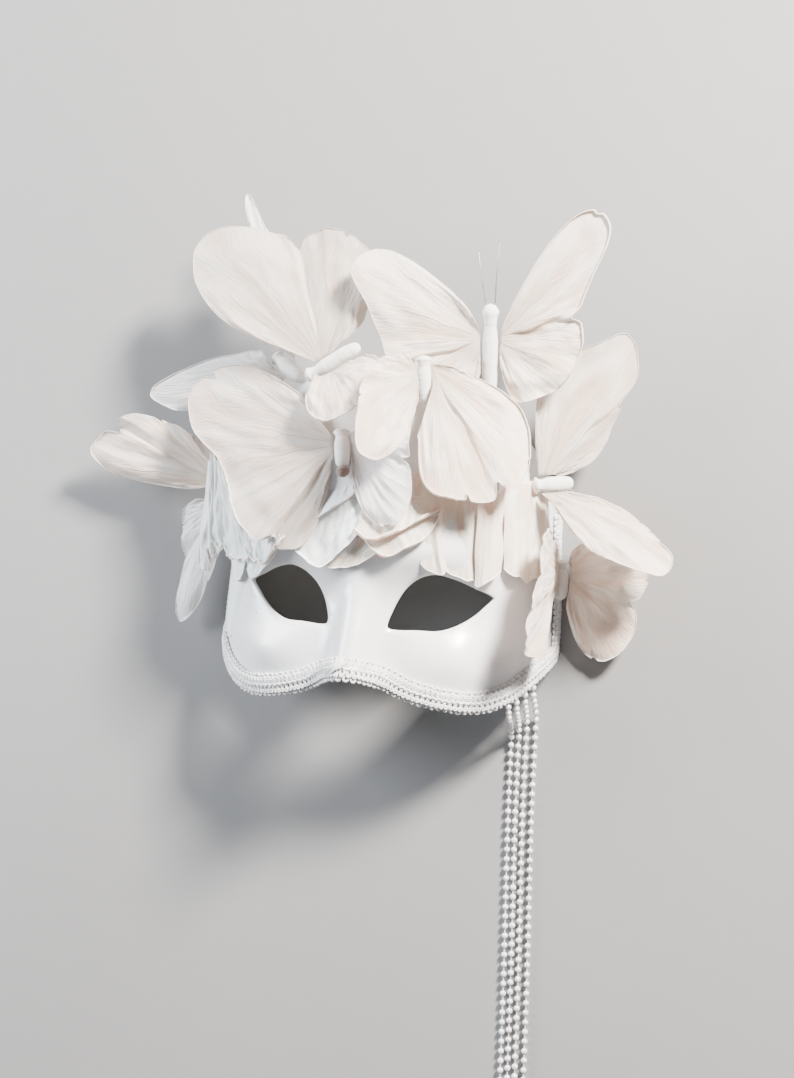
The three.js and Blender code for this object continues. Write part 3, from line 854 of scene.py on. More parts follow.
# Braid along the edge: rows of thread loops on a ribbon ground, a cord down the middle and a wound joint
BRAID = {"inset": 0.9, "width": 7.4, "lift": 0.7, "height": 1.3, "top_y": 50, "smoothing": 12}
BRAID_TOP = BRAID["lift"] + BRAID["height"]
LOOP = {"pitch": 2.75, "long": 3.6, "wide": 2.6, "thread": 0.82}
LOOP_SIZES = (0.9, 1.06)
KNOT = {"pitch": 2.4, "long": 1.5, "wide": 1.5, "thread": 0.6, "shares": (0.14, 0.86), "lift": 0.3}
PICOT = {"pitch": 3.3, "long": 2.3, "wide": 2.2, "thread": 0.72, "lowest_z": 4.5}
PICOT_RIMS = [{"share": 0.03, "lift": 0.3}, {"share": 0.92, "lift": 0.5}]
CORD = {"pitch": 1.0, "radius": 0.75, "lift": 0.4, "sway": 0.55, "turn": 2.0}
JOINT = {"x": -7, "turns": 4, "pitch": 1.5, "radius": 0.58, "rise": 1.8, "foot": 0.4, "lift": 0.3,
         "slant": 0.5, "shares": (-0.1, 1.15)}
GROUND = {"pitch": 2.0, "sink": 0.2, "thickness": 0.6, "arch_power": 0.5}
BRAID_ROWS = 9
MIDDLE = 0.5


def edge_line():
    """The shell's edge on the flat map, from the top of one side to the top of the other."""
    side = [(-90 * ARC, y) for y in np.arange(BRAID["top_y"], SIDE_BOTTOM_Y, -1.0)]
    bottom = [(d * ARC, through(LOWER_EDGE, abs(d))) for d in np.arange(-90, 90.1, 1.0)]
    other = [(-x, y) for x, y in reversed(side)]
    line = np.array(side + bottom + other)
    for _ in range(BRAID["smoothing"]):
        line[1:-1] = (line[:-2] + line[1:-1] * 2 + line[2:]) / 4
    return line


def braid_track(share, pitch):
    """Points, tangents and normals at an even pitch along the braid, share of its width from the edge."""
    line = edge_line()
    tangent = np.gradient(line, axis=0)
    tangent /= np.linalg.norm(tangent, axis=1, keepdims=True)
    inward = np.stack([-tangent[:, 1], tangent[:, 0]], axis=1)
    flat = line + inward * (BRAID["inset"] + share * BRAID["width"])
    spots = np.array([face_point(math.radians(x / ARC), y) for x, y in flat])
    far = np.concatenate([[0], np.cumsum(np.linalg.norm(np.diff(spots, axis=0), axis=1))])
    count = int(far[-1] / pitch)
    track = []
    for distance in np.linspace(0, far[-1], count + 1):
        x, y = (np.interp(distance, far, flat[:, axis]) for axis in (0, 1))
        turn = math.radians(clamp(x / ARC, -90, 90))
        track.append((face_point(turn, y), face_normal(turn, y)))
    frames = []
    for i, (point, normal) in enumerate(track):
        ahead = track[min(i + 1, count)][0] - track[max(i - 1, 0)][0]
        ahead = (ahead - normal * ahead.dot(normal)).normalized()
        frames.append((point, ahead, normal))
    return frames


def loop_tree():
    """A thread loop on each point, laid by the point's own along and outward directions."""
    tree, given, out = new_tree(
        "braid loops", "GeometryNodeTree",
        [("Geometry", "Geometry", None), ("Loop Long", "Float", LOOP["long"] * MM),
         ("Loop Wide", "Float", LOOP["wide"] * MM), ("Thread Radius", "Float", LOOP["thread"] * MM),
         ("Seed", "Int", 3), ("Material", "Material", None)],
        [("Geometry", "Geometry")])
    ring = add_node(tree, "GeometryNodeCurvePrimitiveCircle", {"Resolution": 10, "Radius": 0.5})
    size = add_node(tree, "ShaderNodeCombineXYZ",
                    {"X": given.outputs["Loop Wide"], "Y": given.outputs["Loop Long"], "Z": 1.0})
    shift = add_node(tree, "ShaderNodeCombineXYZ", {"Y": times(tree, given.outputs["Loop Long"], -0.5)})
    oval = add_node(tree, "GeometryNodeTransform",
                    {"Geometry": ring.outputs[0], "Translation": shift.outputs[0], "Scale": size.outputs[0]})
    thread = add_node(tree, "GeometryNodeCurvePrimitiveCircle",
                      {"Resolution": 6, "Radius": given.outputs["Thread Radius"]})
    loop = add_node(tree, "GeometryNodeCurveToMesh",
                    {"Curve": oval.outputs[0], "Profile Curve": thread.outputs[0]})
    ahead, outward = (add_node(tree, "GeometryNodeInputNamedAttribute", {"Name": label},
                               data_type="FLOAT_VECTOR").outputs[0] for label in ("ahead", "outward"))
    turn = add_node(tree, "FunctionNodeAxesToRotation", {"Primary Axis": outward, "Secondary Axis": ahead},
                    primary_axis="Z", secondary_axis="X")
    least, most = LOOP_SIZES
    scale = add_node(tree, "FunctionNodeRandomValue", {2: least, 3: most, "Seed": given.outputs["Seed"]},
                     data_type="FLOAT")
    loops = add_node(tree, "GeometryNodeInstanceOnPoints",
                     {"Points": given.outputs["Geometry"], "Instance": loop.outputs[0],
                      "Rotation": turn.outputs[0], "Scale": scale.outputs[1]})
    return end_maker(tree, given, out, loops.outputs[0])


def point_carrier(frames):
    """A mesh of loose points that carry their directions."""
    mesh = bpy.data.meshes.new("spots")
    mesh.from_pydata([place(point) for point, _, _ in frames], [], [])
    for label, index in (("ahead", 1), ("outward", 2)):
        values = np.array([one[index] for one in frames], np.float32).ravel()
        mesh.attributes.new(label, "FLOAT_VECTOR", "POINT").data.foreach_set("vector", values)
    return linked("spots", mesh)


def raised(frames, height):
    return [(point + normal * height, ahead, normal) for point, ahead, normal in frames]


def faced_back(frames):
    return [(point, -ahead, normal) for point, ahead, normal in frames]


def braid_rows():
    """Rows of loops: two from the middle line, picots along both rims, and knots on the loops' ends."""
    middle = raised(braid_track(MIDDLE, LOOP["pitch"]), BRAID_TOP)
    halfway = [((a[0] + b[0]) / 2, a[1], a[2]) for a, b in zip(middle, middle[1:])]
    outer, inner = (raised(braid_track(rim["share"], PICOT["pitch"]), BRAID["lift"] + rim["lift"])
                    for rim in PICOT_RIMS)
    outer = [spot for spot in outer if spot[0].z > PICOT["lowest_z"]]
    knots = [raised(braid_track(share, KNOT["pitch"]), BRAID_TOP + KNOT["lift"]) for share in KNOT["shares"]]
    return [(faced_back(middle), LOOP), (halfway, LOOP), (outer, PICOT), (faced_back(inner), PICOT),
            *((row, KNOT) for row in knots)]


def middle_cord():
    """A wavering cord down the middle of the braid."""
    path = []
    for i, (point, ahead, normal) in enumerate(braid_track(MIDDLE, CORD["pitch"])):
        sideways = normal.cross(ahead) * CORD["sway"] * math.sin(i * CORD["turn"])
        path.append(point + normal * (BRAID_TOP + CORD["lift"]) + sideways)
    return tube_mesh("middle_cord", path, [CORD["radius"]] * len(path))


def joint_turns():
    """Thread wound across the braid where its ends meet, beside the nose."""
    tracks = [braid_track(share, 1.0) for share in np.linspace(*JOINT["shares"], BRAID_ROWS)]
    nearest = min(range(min(map(len, tracks))), key=lambda i: abs(tracks[0][i][0].x - JOINT["x"]))
    meshes = []
    for number in range(JOINT["turns"]):
        path = []
        for row, track in enumerate(tracks):
            point, ahead, normal = track[nearest]
            share = row / (BRAID_ROWS - 1)
            rise = BRAID["lift"] + JOINT["rise"] * (JOINT["foot"] + math.sin(math.pi * share)) + JOINT["lift"]
            along = JOINT["pitch"] * (number - JOINT["turns"] / 2) + JOINT["slant"] * share
            path.append(point + normal * rise + ahead * along)
        meshes.append(tube_mesh("joint_turn", path, [JOINT["radius"]] * len(path)))
    return meshes


def braid_ground():
    """The arched ribbon under the loops, dark grey as painted shade in the gaps between them."""
    shares = np.linspace(0.0, 1.0, BRAID_ROWS)
    tracks = [braid_track(share, GROUND["pitch"]) for share in shares]
    count = min(map(len, tracks))
    grid = np.zeros((BRAID_ROWS, count, 3))
    for row, track in enumerate(tracks):
        crown = BRAID_TOP * max(0.0, math.sin(math.pi * shares[row])) ** GROUND["arch_power"]
        for column in range(count):
            point, _, normal = track[round(column / (count - 1) * (len(track) - 1))]
            grid[row, column] = point + normal * (crown - GROUND["sink"])
    return sheet_mesh("braid_ground", grid, GROUND["thickness"])


def make_braid():
    tree = loop_tree()
    loops = [made_by("loops", point_carrier(frames), tree, {
        "Loop Long": size["long"] * MM, "Loop Wide": size["wide"] * MM, "Thread Radius": size["thread"] * MM,
        "Seed": seed, "Material": THREAD}) for seed, (frames, size) in enumerate(braid_rows())]
    add_piece("edge_braid_loops", [*loops, middle_cord()], THREAD, "braid", "edge_braid")
    add_piece("edge_braid_joint", joint_turns(), THREAD, "braid", "edge_braid")
    add_piece("edge_braid_ground", [braid_ground()], HOLE_SHADE_GROUND, "braid", "edge_braid")


# Feather butterflies: bodies and wing outlines as the solids have them. A wing's hind lobe begins at the
# share "lobe" of its width, "ragged" and "curl" say how far its rim is frayed and rolled, "dull" how much
# painted shade darkens its fore and its hind lobe, and a "cool" wing is of the feather tinted with painted
# bluish skylight, the others of the feather tinted with painted warm light and beige shade.
BODY_RADIUS = 4
CHEST_SHARE = 0.35
WING = {"root_fore": 4, "root_hind": 5, "root_gap": 1.1, "pleats": 4, "thickness": 0.4, "bow_turn": 0.8,
        "notch": 0.11, "notch_width": 0.02, "corner": 0.28, "corner_width": 0.045,
        "roll": 0.9, "roll_share": 0.03, "rim_share": 0.5, "fold_power": 0.8}
WING_COLUMNS = 150
WING_ROWS = 30
WING_ROLL_ROWS = 7
BUTTERFLIES = [
    {"name": "crown_right", "head": (55, 152, 62), "tail": (55, 103, 47.5),
     "left": {"fore": (-17, 170, 68), "hind": (16, 107, 62), "turn": (-38, 122), "bow": 3, "pleat": 0.5,
              "reach": (21, 34, 69, 76, 60, 52, 49, 47, 44, 42, 39, 35, 24), "lobe": 0.55},
     "right": {"fore": (107, 201, 58), "hind": (92, 112, 52), "turn": (-19, 141), "bow": 3, "pleat": 0.8,
               "reach": (28, 73, 79, 56, 44, 42, 42, 40, 40, 39, 36, 35, 32, 20),
               "lobe": 0.34, "ragged": 0.4, "curl": 1.3}},
    {"name": "crown_left", "head": (-38, 110, 64), "tail": (-9, 127, 70),
     "left": {"fore": (-19, 83, 86), "hind": (9, 124, 74), "turn": (-82, 93), "bow": 4, "pleat": 0.4,
              "reach": (7, 11, 28, 36, 36, 35), "curl": 1.2},
     "right": {"fore": (-115, 172, 44), "hind": (-32, 192, 48), "turn": (-23, 105), "bow": 4, "pleat": 0.7,
               "reach": (33, 68, 97, 105, 95, 80, 74, 74, 70, 63, 49, 33, 23),
               "lobe": 0.464, "painted_shade": (0.6, 0.85)}},
    {"name": "brow_left", "head": (-14, 84, 74), "tail": (-10, 64, 79.5),
     "left": {"fore": (-106, 113, 40), "hind": (-42, 20, 76), "turn": (-34, 117), "bow": 3, "pleat": 1,
              "reach": (26, 45, 85, 104, 95, 73, 67, 66, 66, 65, 60, 51, 14),
              "lobe": 0.775, "ragged": 1.8, "curl": 1.2, "painted_shade": (0.4, 0.95)},
     "right": {"fore": (19, 79, 83), "hind": (14, 37, 87), "turn": (-38, 85), "bow": 1.5, "pleat": 0.4,
               "reach": (22, 31, 34, 35, 38, 46, 52, 43, 15), "lobe": 0.45, "sky_lit": True}},
    {"name": "temple_right", "head": (79, 63.5, 39.4), "tail": (98, 67, 30),
     "left": {"fore": (153, 23, 36), "hind": (134, 52, 24), "turn": (-36, 45), "bow": 4, "pleat": 0.7,
              "reach": (20, 39, 53, 71, 72, 59, 46, 22, 14), "lobe": 0.565},
     "right": {"fore": (123, 146, 30), "hind": (112, 80, 25), "turn": (-45, 67), "bow": -3, "pleat": 0.8,
               "reach": (32, 49, 60, 71, 84, 72, 48, 37, 26, 16, 10), "lobe": 0.547, "painted_shade": (0.2, 0.45)}},
    {"name": "temple_left", "head": (-100, 50, 18), "tail": (-85.5, 61, 24),
     "left": {"fore": (-117, -24, 8), "hind": (-94, -7, 17), "turn": (-62, 46), "bow": 2.5, "pleat": 0.7,
              "reach": (29, 34, 38, 49, 78, 33, 27, 20), "ragged": 3.0, "sky_lit": True},
     "right": {"fore": (-172, 71, 20), "hind": (-143, 90, 30), "turn": (-37, 71), "bow": 4, "pleat": 0.9,
               "reach": (12, 20, 32, 62, 78, 73, 68, 60, 45, 37, 28, 20, 15), "lobe": 0.464, "ragged": 1.6}},
    {"name": "cheek_right", "head": (92, 28, 16), "tail": (93, 7, 14),
     "left": {"fore": (90, 56, 42), "hind": (92, -27, 42), "turn": (19, 140), "bow": 2, "pleat": 0.6,
              "reach": (43, 43, 46, 53, 64, 66, 56, 46, 12), "lobe": 0.5},
     "right": {"fore": (138, 37, 14), "hind": (113, -30, 9), "turn": (-78, 115), "bow": 3, "pleat": 0.9,
               "reach": (9, 16, 24, 36, 41, 39, 47, 48, 26), "lobe": 0.626}},
    {"name": "crown_back", "head": (-64, 124, 40), "tail": (-45, 111, 49),
     "left": {"fore": (-139, 102, 22), "hind": (-92, 79, 30), "turn": (-64, 44), "bow": 3, "pleat": 0.6,
              "reach": (15, 17, 19, 24, 30, 43, 61, 84, 72, 65, 61, 53, 23),
              "lobe": 0.7, "ragged": 1.4, "sky_lit": True},
     "right": {"fore": (-92, 211, 32), "hind": (-62, 160, 38), "turn": (-7, 17), "bow": 0, "pleat": 0.3,
               "reach": (40, 66, 97, 76, 68, 62, 30), "sky_lit": True}},
    {"name": "centre", "head": (25, 123, 72), "tail": (27.5, 99, 69),
     "left": {"fore": (8, 117, 85), "hind": (22, 64, 92.5), "turn": (-56, 96), "bow": 3, "pleat": 0.5,
              "reach": (10, 13, 20, 28, 40, 57, 28)},
     "right": {"fore": (83, 86, 58), "hind": (35, 50, 90), "turn": (-38, 72), "bow": 4, "pleat": 0.6,
               "reach": (14, 24, 46, 60, 70, 74, 70, 65, 50), "lobe": 0.62, "curl": 1.5}},
]


def wing_frame(butterfly, plan):
    """Root, ahead, aside, up and the two ends of the root edge, as the solid has them."""
    head, tail = Vector(butterfly["head"]), Vector(butterfly["tail"])
    fore, hind = Vector(plan["fore"]), Vector(plan["hind"])
    along = (tail - head).normalized()
    chest = head.lerp(tail, CHEST_SHARE)
    outward = (fore + hind) / 2 - chest
    outward = (outward - along * outward.dot(along)).normalized()
    root = chest + outward * (BODY_RADIUS + WING["root_gap"])
    ahead = (fore - root).normalized()
    normal = ahead.cross(hind - root).normalized()
    up = -normal if normal.z < 0 else normal
    root_line = (along - normal * along.dot(normal)).normalized()
    ends = (root - root_line * WING["root_fore"], root + root_line * WING["root_hind"])
    return root, ahead, normal.cross(ahead), up, ends


FRAY = {"fine": (70, 0.005), "coarse": (15, 0.01), "notch": (30, 0.2), "notch_from": 0.38}


def frayed(share, seed, amount):
    """How far the rim steps back at this share of its length, as a part of its reach."""
    fine, coarse, notch = (ripple(share * FRAY[kind][0], seed, layer)
                           for kind, layer in (("fine", 0), ("coarse", 5), ("notch", 9)))
    return amount * (FRAY["fine"][1] * (1 + fine) + FRAY["coarse"][1] * (1 + coarse)
                     + FRAY["notch"][1] * max(0.0, notch - FRAY["notch_from"]))


def rolled_over(point, ahead, up, radius, turn):
    """A point of a rim that curls up and back, after this turn of the curl."""
    return point + ahead * (radius * math.sin(turn)) + up * (radius * (1 - math.cos(turn)))


def wrinkle(plan, across, s, seed):
    """Height of one kind of wrinkle: across is counted in wrinkles, s runs from root to rim."""
    return plan["height"] * ripple(across + plan.get("lean", 0) * s, plan["along"] * s, seed + plan["layer"])


# How high a wing's wrinkles are, how many lie across and along it, their place in the noise, and between
# which shares of its length they grow
WING_WRINKLES = {
    "ray": {"height": 2.4, "across": 7, "along": 0.7, "layer": 0.5},
    "ridge": {"height": 1.9, "across": 15, "along": 1.6, "lean": 1, "layer": 2.5},
    "cross": {"height": 1.5, "across": 9, "along": 5, "layer": 7.5, "grows": (0.15, 0.7)},
    "fine": {"height": 0.45, "across": 34, "along": 5, "layer": 4.5, "grows": (0.05, 0.4)},
}
LOBE_STEP = {"height": 2.4, "half": 0.012, "sway": 0.03, "turns": 3, "grows": (0.05, 0.35)}
WING_CURL = {"usual": 0.5, "base": 0.55, "sway": 0.9, "turns": 5, "least": 0.05, "most": 0.95}


def wing_rise(plan, t, s, seed):
    """Height of the sheet over its plane: the solid's bow and pleats, folds, wrinkles and the lobes' step."""
    ray, ridge, cross, fine = (wrinkle(kind, t * kind["across"], s, seed) for kind in WING_WRINKLES.values())
    rise = (plan["bow"] * math.sin(math.pi * s * WING["bow_turn"])
            + plan["pleat"] * s * math.sin(2 * math.pi * WING["pleats"] * t))
    rise += (ray - abs(ridge)) * s ** WING["fold_power"]
    rise += cross * smoothstep(*WING_WRINKLES["cross"]["grows"], s)
    rise -= abs(fine) * smoothstep(*WING_WRINKLES["fine"]["grows"], s)
    if "lobe" in plan:
        edge = plan["lobe"] + LOBE_STEP["sway"] * ripple(s * LOBE_STEP["turns"], seed, 1.5)
        step = smoothstep(edge - LOBE_STEP["half"], edge + LOBE_STEP["half"], t)
        rise -= LOBE_STEP["height"] * step * smoothstep(*LOBE_STEP["grows"], s)
    return rise


def wing_reach(plan, t, seed):
    """Reach of the wing at this share of its width, with its frayed rim, round corners and notch."""
    far = along_list(plan["reach"], t) * (1 - frayed(t, seed, plan.get("ragged", 1.0)))
    far *= 1 - WING["corner"] * bell(min(t, 1 - t), WING["corner_width"])
    if "lobe" in plan:
        far *= 1 - WING["notch"] * bell(t - plan["lobe"], WING["notch_width"])
    return far


def curl_of(rule, amount, wave):
    """How far round a rim rolls, in radians: an amount that sways along the rim, between two limits."""
    return clamp(amount * (rule["base"] + rule["sway"] * wave), rule["least"], rule["most"]) * math.pi


def wing_grid(butterfly, plan, seed):
    """Points of a wing, from its root to its rim, which rolls up."""
    root, ahead, aside, up, ends = wing_frame(butterfly, plan)
    grid = np.zeros((WING_ROWS + WING_ROLL_ROWS + 1, WING_COLUMNS + 1, 3))
    for column in range(WING_COLUMNS + 1):
        t = column / WING_COLUMNS
        angle = math.radians(lerp(*plan["turn"], t))
        far = wing_reach(plan, t, seed)
        rim = root + ahead * (far * math.cos(angle)) + aside * (far * math.sin(angle))
        base = ends[0].lerp(ends[1], t)
        outward = (rim - base).normalized()
        wave = ripple(t * WING_CURL["turns"], seed, 3.5)
        curl = curl_of(WING_CURL, plan.get("curl", WING_CURL["usual"]), wave)
        radius = min(WING["roll"], WING["roll_share"] * far)
        reach = (rim - base).length - radius * math.sin(min(curl, math.pi / 2))
        for row in range(WING_ROWS + 1):
            s = row / WING_ROWS
            grid[row, column] = base + outward * (reach * s) + up * wing_rise(plan, t, s, seed)
        last = Vector(grid[WING_ROWS, column])
        for row in range(1, WING_ROLL_ROWS + 1):
            turn = curl * row / WING_ROLL_ROWS
            grid[WING_ROWS + row, column] = rolled_over(last, outward, up, radius, turn)
    return grid


def shaded_lobes(plan, rows):
    """How much painted shade darkens each point of the wing: its fore and its hind lobe each have their own
    share.
    """
    across = np.linspace(0, 1, WING_COLUMNS + 1)
    fore, hind = plan.get("painted_shade", (0.0, 0.0))
    return np.tile(np.where(across > plan.get("lobe", 1.0), hind, fore), 2 * rows)


def make_wing(butterfly, side, seed):
    name, plan = f"{butterfly['name']}_wing_{side}", butterfly[side]
    grid = wing_grid(butterfly, plan, seed)
    taper = np.linspace(1, WING["rim_share"], len(grid))[:, None]
    mesh = sheet_mesh(name, grid, taper * WING["thickness"])
    # The painted shade of each lobe, carried as the shaded mask.
    set_mask(mesh, "shaded", shaded_lobes(plan, len(grid)))
    # Wings lit bluish take the feather with painted bluish skylight; the others take the one with painted
    # warm light and shade.
    add_piece(f"{name}_feathers", [mesh], FEATHER_SKY_LIT if "sky_lit" in plan else FEATHER_WARM_LIT, "feather", name)


BODY_PROFILE = [(0.0, 0.02), (0.03, 0.55), (0.15, 0.9), (0.4, 1.0), (0.64, 0.96), (0.77, 0.78), (0.86, 0.84),
                (0.92, 0.94), (0.98, 0.6), (1.0, 0.02)]
BODY_RINGS = 60
BODY_SIDES = 28
NECK = {"share": 0.79, "line": 0.012, "browning": 0.25}
ABDOMEN_RINGS = {"depth": 0.025, "turns": 30, "power": 3}
EYES = {"share": 0.92, "long": 0.035, "rise": 0.16, "power": 8}
BODY_DENTS = {"depth": 0.03, "round": 2.2, "along": 9}
BUD_DENTS = {"depth": 0.12, "round": 3, "along": 5}
# brow_left has a brown bud past its tail end: a brown patch under the tail.
TAIL_BUDS = {"brow_left": {"length": 6.5, "radius": 3.5, "overlap": 1.5, "browning": 0.88, "power": 0.6}}


def dents(plan, share, angle, seed):
    """Soft dents over a turned form."""
    x, y = plan["round"] * math.cos(angle), plan["round"] * math.sin(angle) + seed
    return plan["depth"] * ripple(x, y, share * plan["along"])


def body_radius(share, angle, seed):
    """Radius at a share of the length from the tail: faint rings, a slim neck, two small side eyes."""
    radius = BODY_RADIUS * through(BODY_PROFILE, share)
    if share < NECK["share"]:
        ring = abs(math.sin(share * ABDOMEN_RINGS["turns"])) ** ABDOMEN_RINGS["power"]
        radius *= 1 - ABDOMEN_RINGS["depth"] * ring
    eyes = bell(share - EYES["share"], EYES["long"]) * abs(math.cos(angle)) ** EYES["power"]
    return radius * (1 + EYES["rise"] * eyes + dents(BODY_DENTS, share, angle, seed))


def turned_mesh(name, tail, head, radius_at, browning_at):
    """A form turned about the line from tail to head, closed at both poles, with its mask of brown."""
    first, second = side_axes((head - tail).normalized())
    points = []
    browning = []
    for ring in range(1, BODY_RINGS):
        share = 0.5 - 0.5 * math.cos(math.pi * ring / BODY_RINGS)
        for angle, spoke in spokes(first, second, BODY_SIDES):
            points.append(tail.lerp(head, share) + spoke * radius_at(share, angle))
            browning.append(browning_at(share))
    faces = ring_faces(BODY_RINGS - 1, BODY_SIDES)
    tail_pole, head_pole = len(points), len(points) + 1
    last = (BODY_RINGS - 2) * BODY_SIDES
    for side in range(BODY_SIDES):
        following = (side + 1) % BODY_SIDES
        faces.append((tail_pole, following, side))
        faces.append((head_pole, last + side, last + following))
    mesh = mesh_of(name, [*points, tail, head], faces)
    set_mask(mesh, "browning", [*browning, browning_at(0), browning_at(1)])
    return mesh


def tail_bud(plan, tail, axis, seed):
    """A brown bud past the end of the tail."""
    near = tail + axis * plan["overlap"]

    def radius_at(share, angle):
        radius = plan["radius"] * math.sin(math.pi * share) ** plan["power"]
        return radius * (1 + dents(BUD_DENTS, share, angle, seed))

    return turned_mesh("tail_bud", near - axis * plan["length"], near, radius_at, lambda share: plan["browning"])


def make_body(butterfly, seed):
    """Head, neck, chest and abdomen, turned about the line from tail to head."""
    head, tail = Vector(butterfly["head"]), Vector(butterfly["tail"])
    name = f"{butterfly['name']}_body"
    meshes = [turned_mesh(name, tail, head, lambda share, angle: body_radius(share, angle, seed),
                          lambda share: NECK["browning"] * bell(share - NECK["share"], NECK["line"]))]
    if butterfly["name"] in TAIL_BUDS:
        bud = TAIL_BUDS[butterfly["name"]]
        meshes.append(tail_bud(bud, tail, (head - tail).normalized(), seed))
    add_piece(f"{name}_pulp", meshes, FELT, "pulp", name)


ANTENNAE = {
    "crown_right": [((52.5, 152, 63), (51, 162, 67), (49.5, 170, 68.5), (48, 177, 68)),
                    ((57.5, 152, 63), (58, 163, 67), (58.5, 173, 69), (58.5, 182, 68.5))],
    "temple_right": [((80.5, 62, 41), (87, 61.5, 45.5), (94, 61.5, 47), (101, 62, 46.5))],
}
ANTENNA = {"radius": 0.32, "knob": [0.5, 0.6, 0.3], "steps": 8}


def make_antennae(name, lines):
    """Thin wires, each with a small knob at its end."""
    meshes = []
    for line in lines:
        path = centripetal([Vector(point) for point in line], ANTENNA["steps"])
        radii = [ANTENNA["radius"]] * (len(path) - len(ANTENNA["knob"])) + ANTENNA["knob"]
        meshes.append(tube_mesh("antenna", path, radii))
    add_piece(f"{name}_antennae", meshes, WIRE, "pulp")


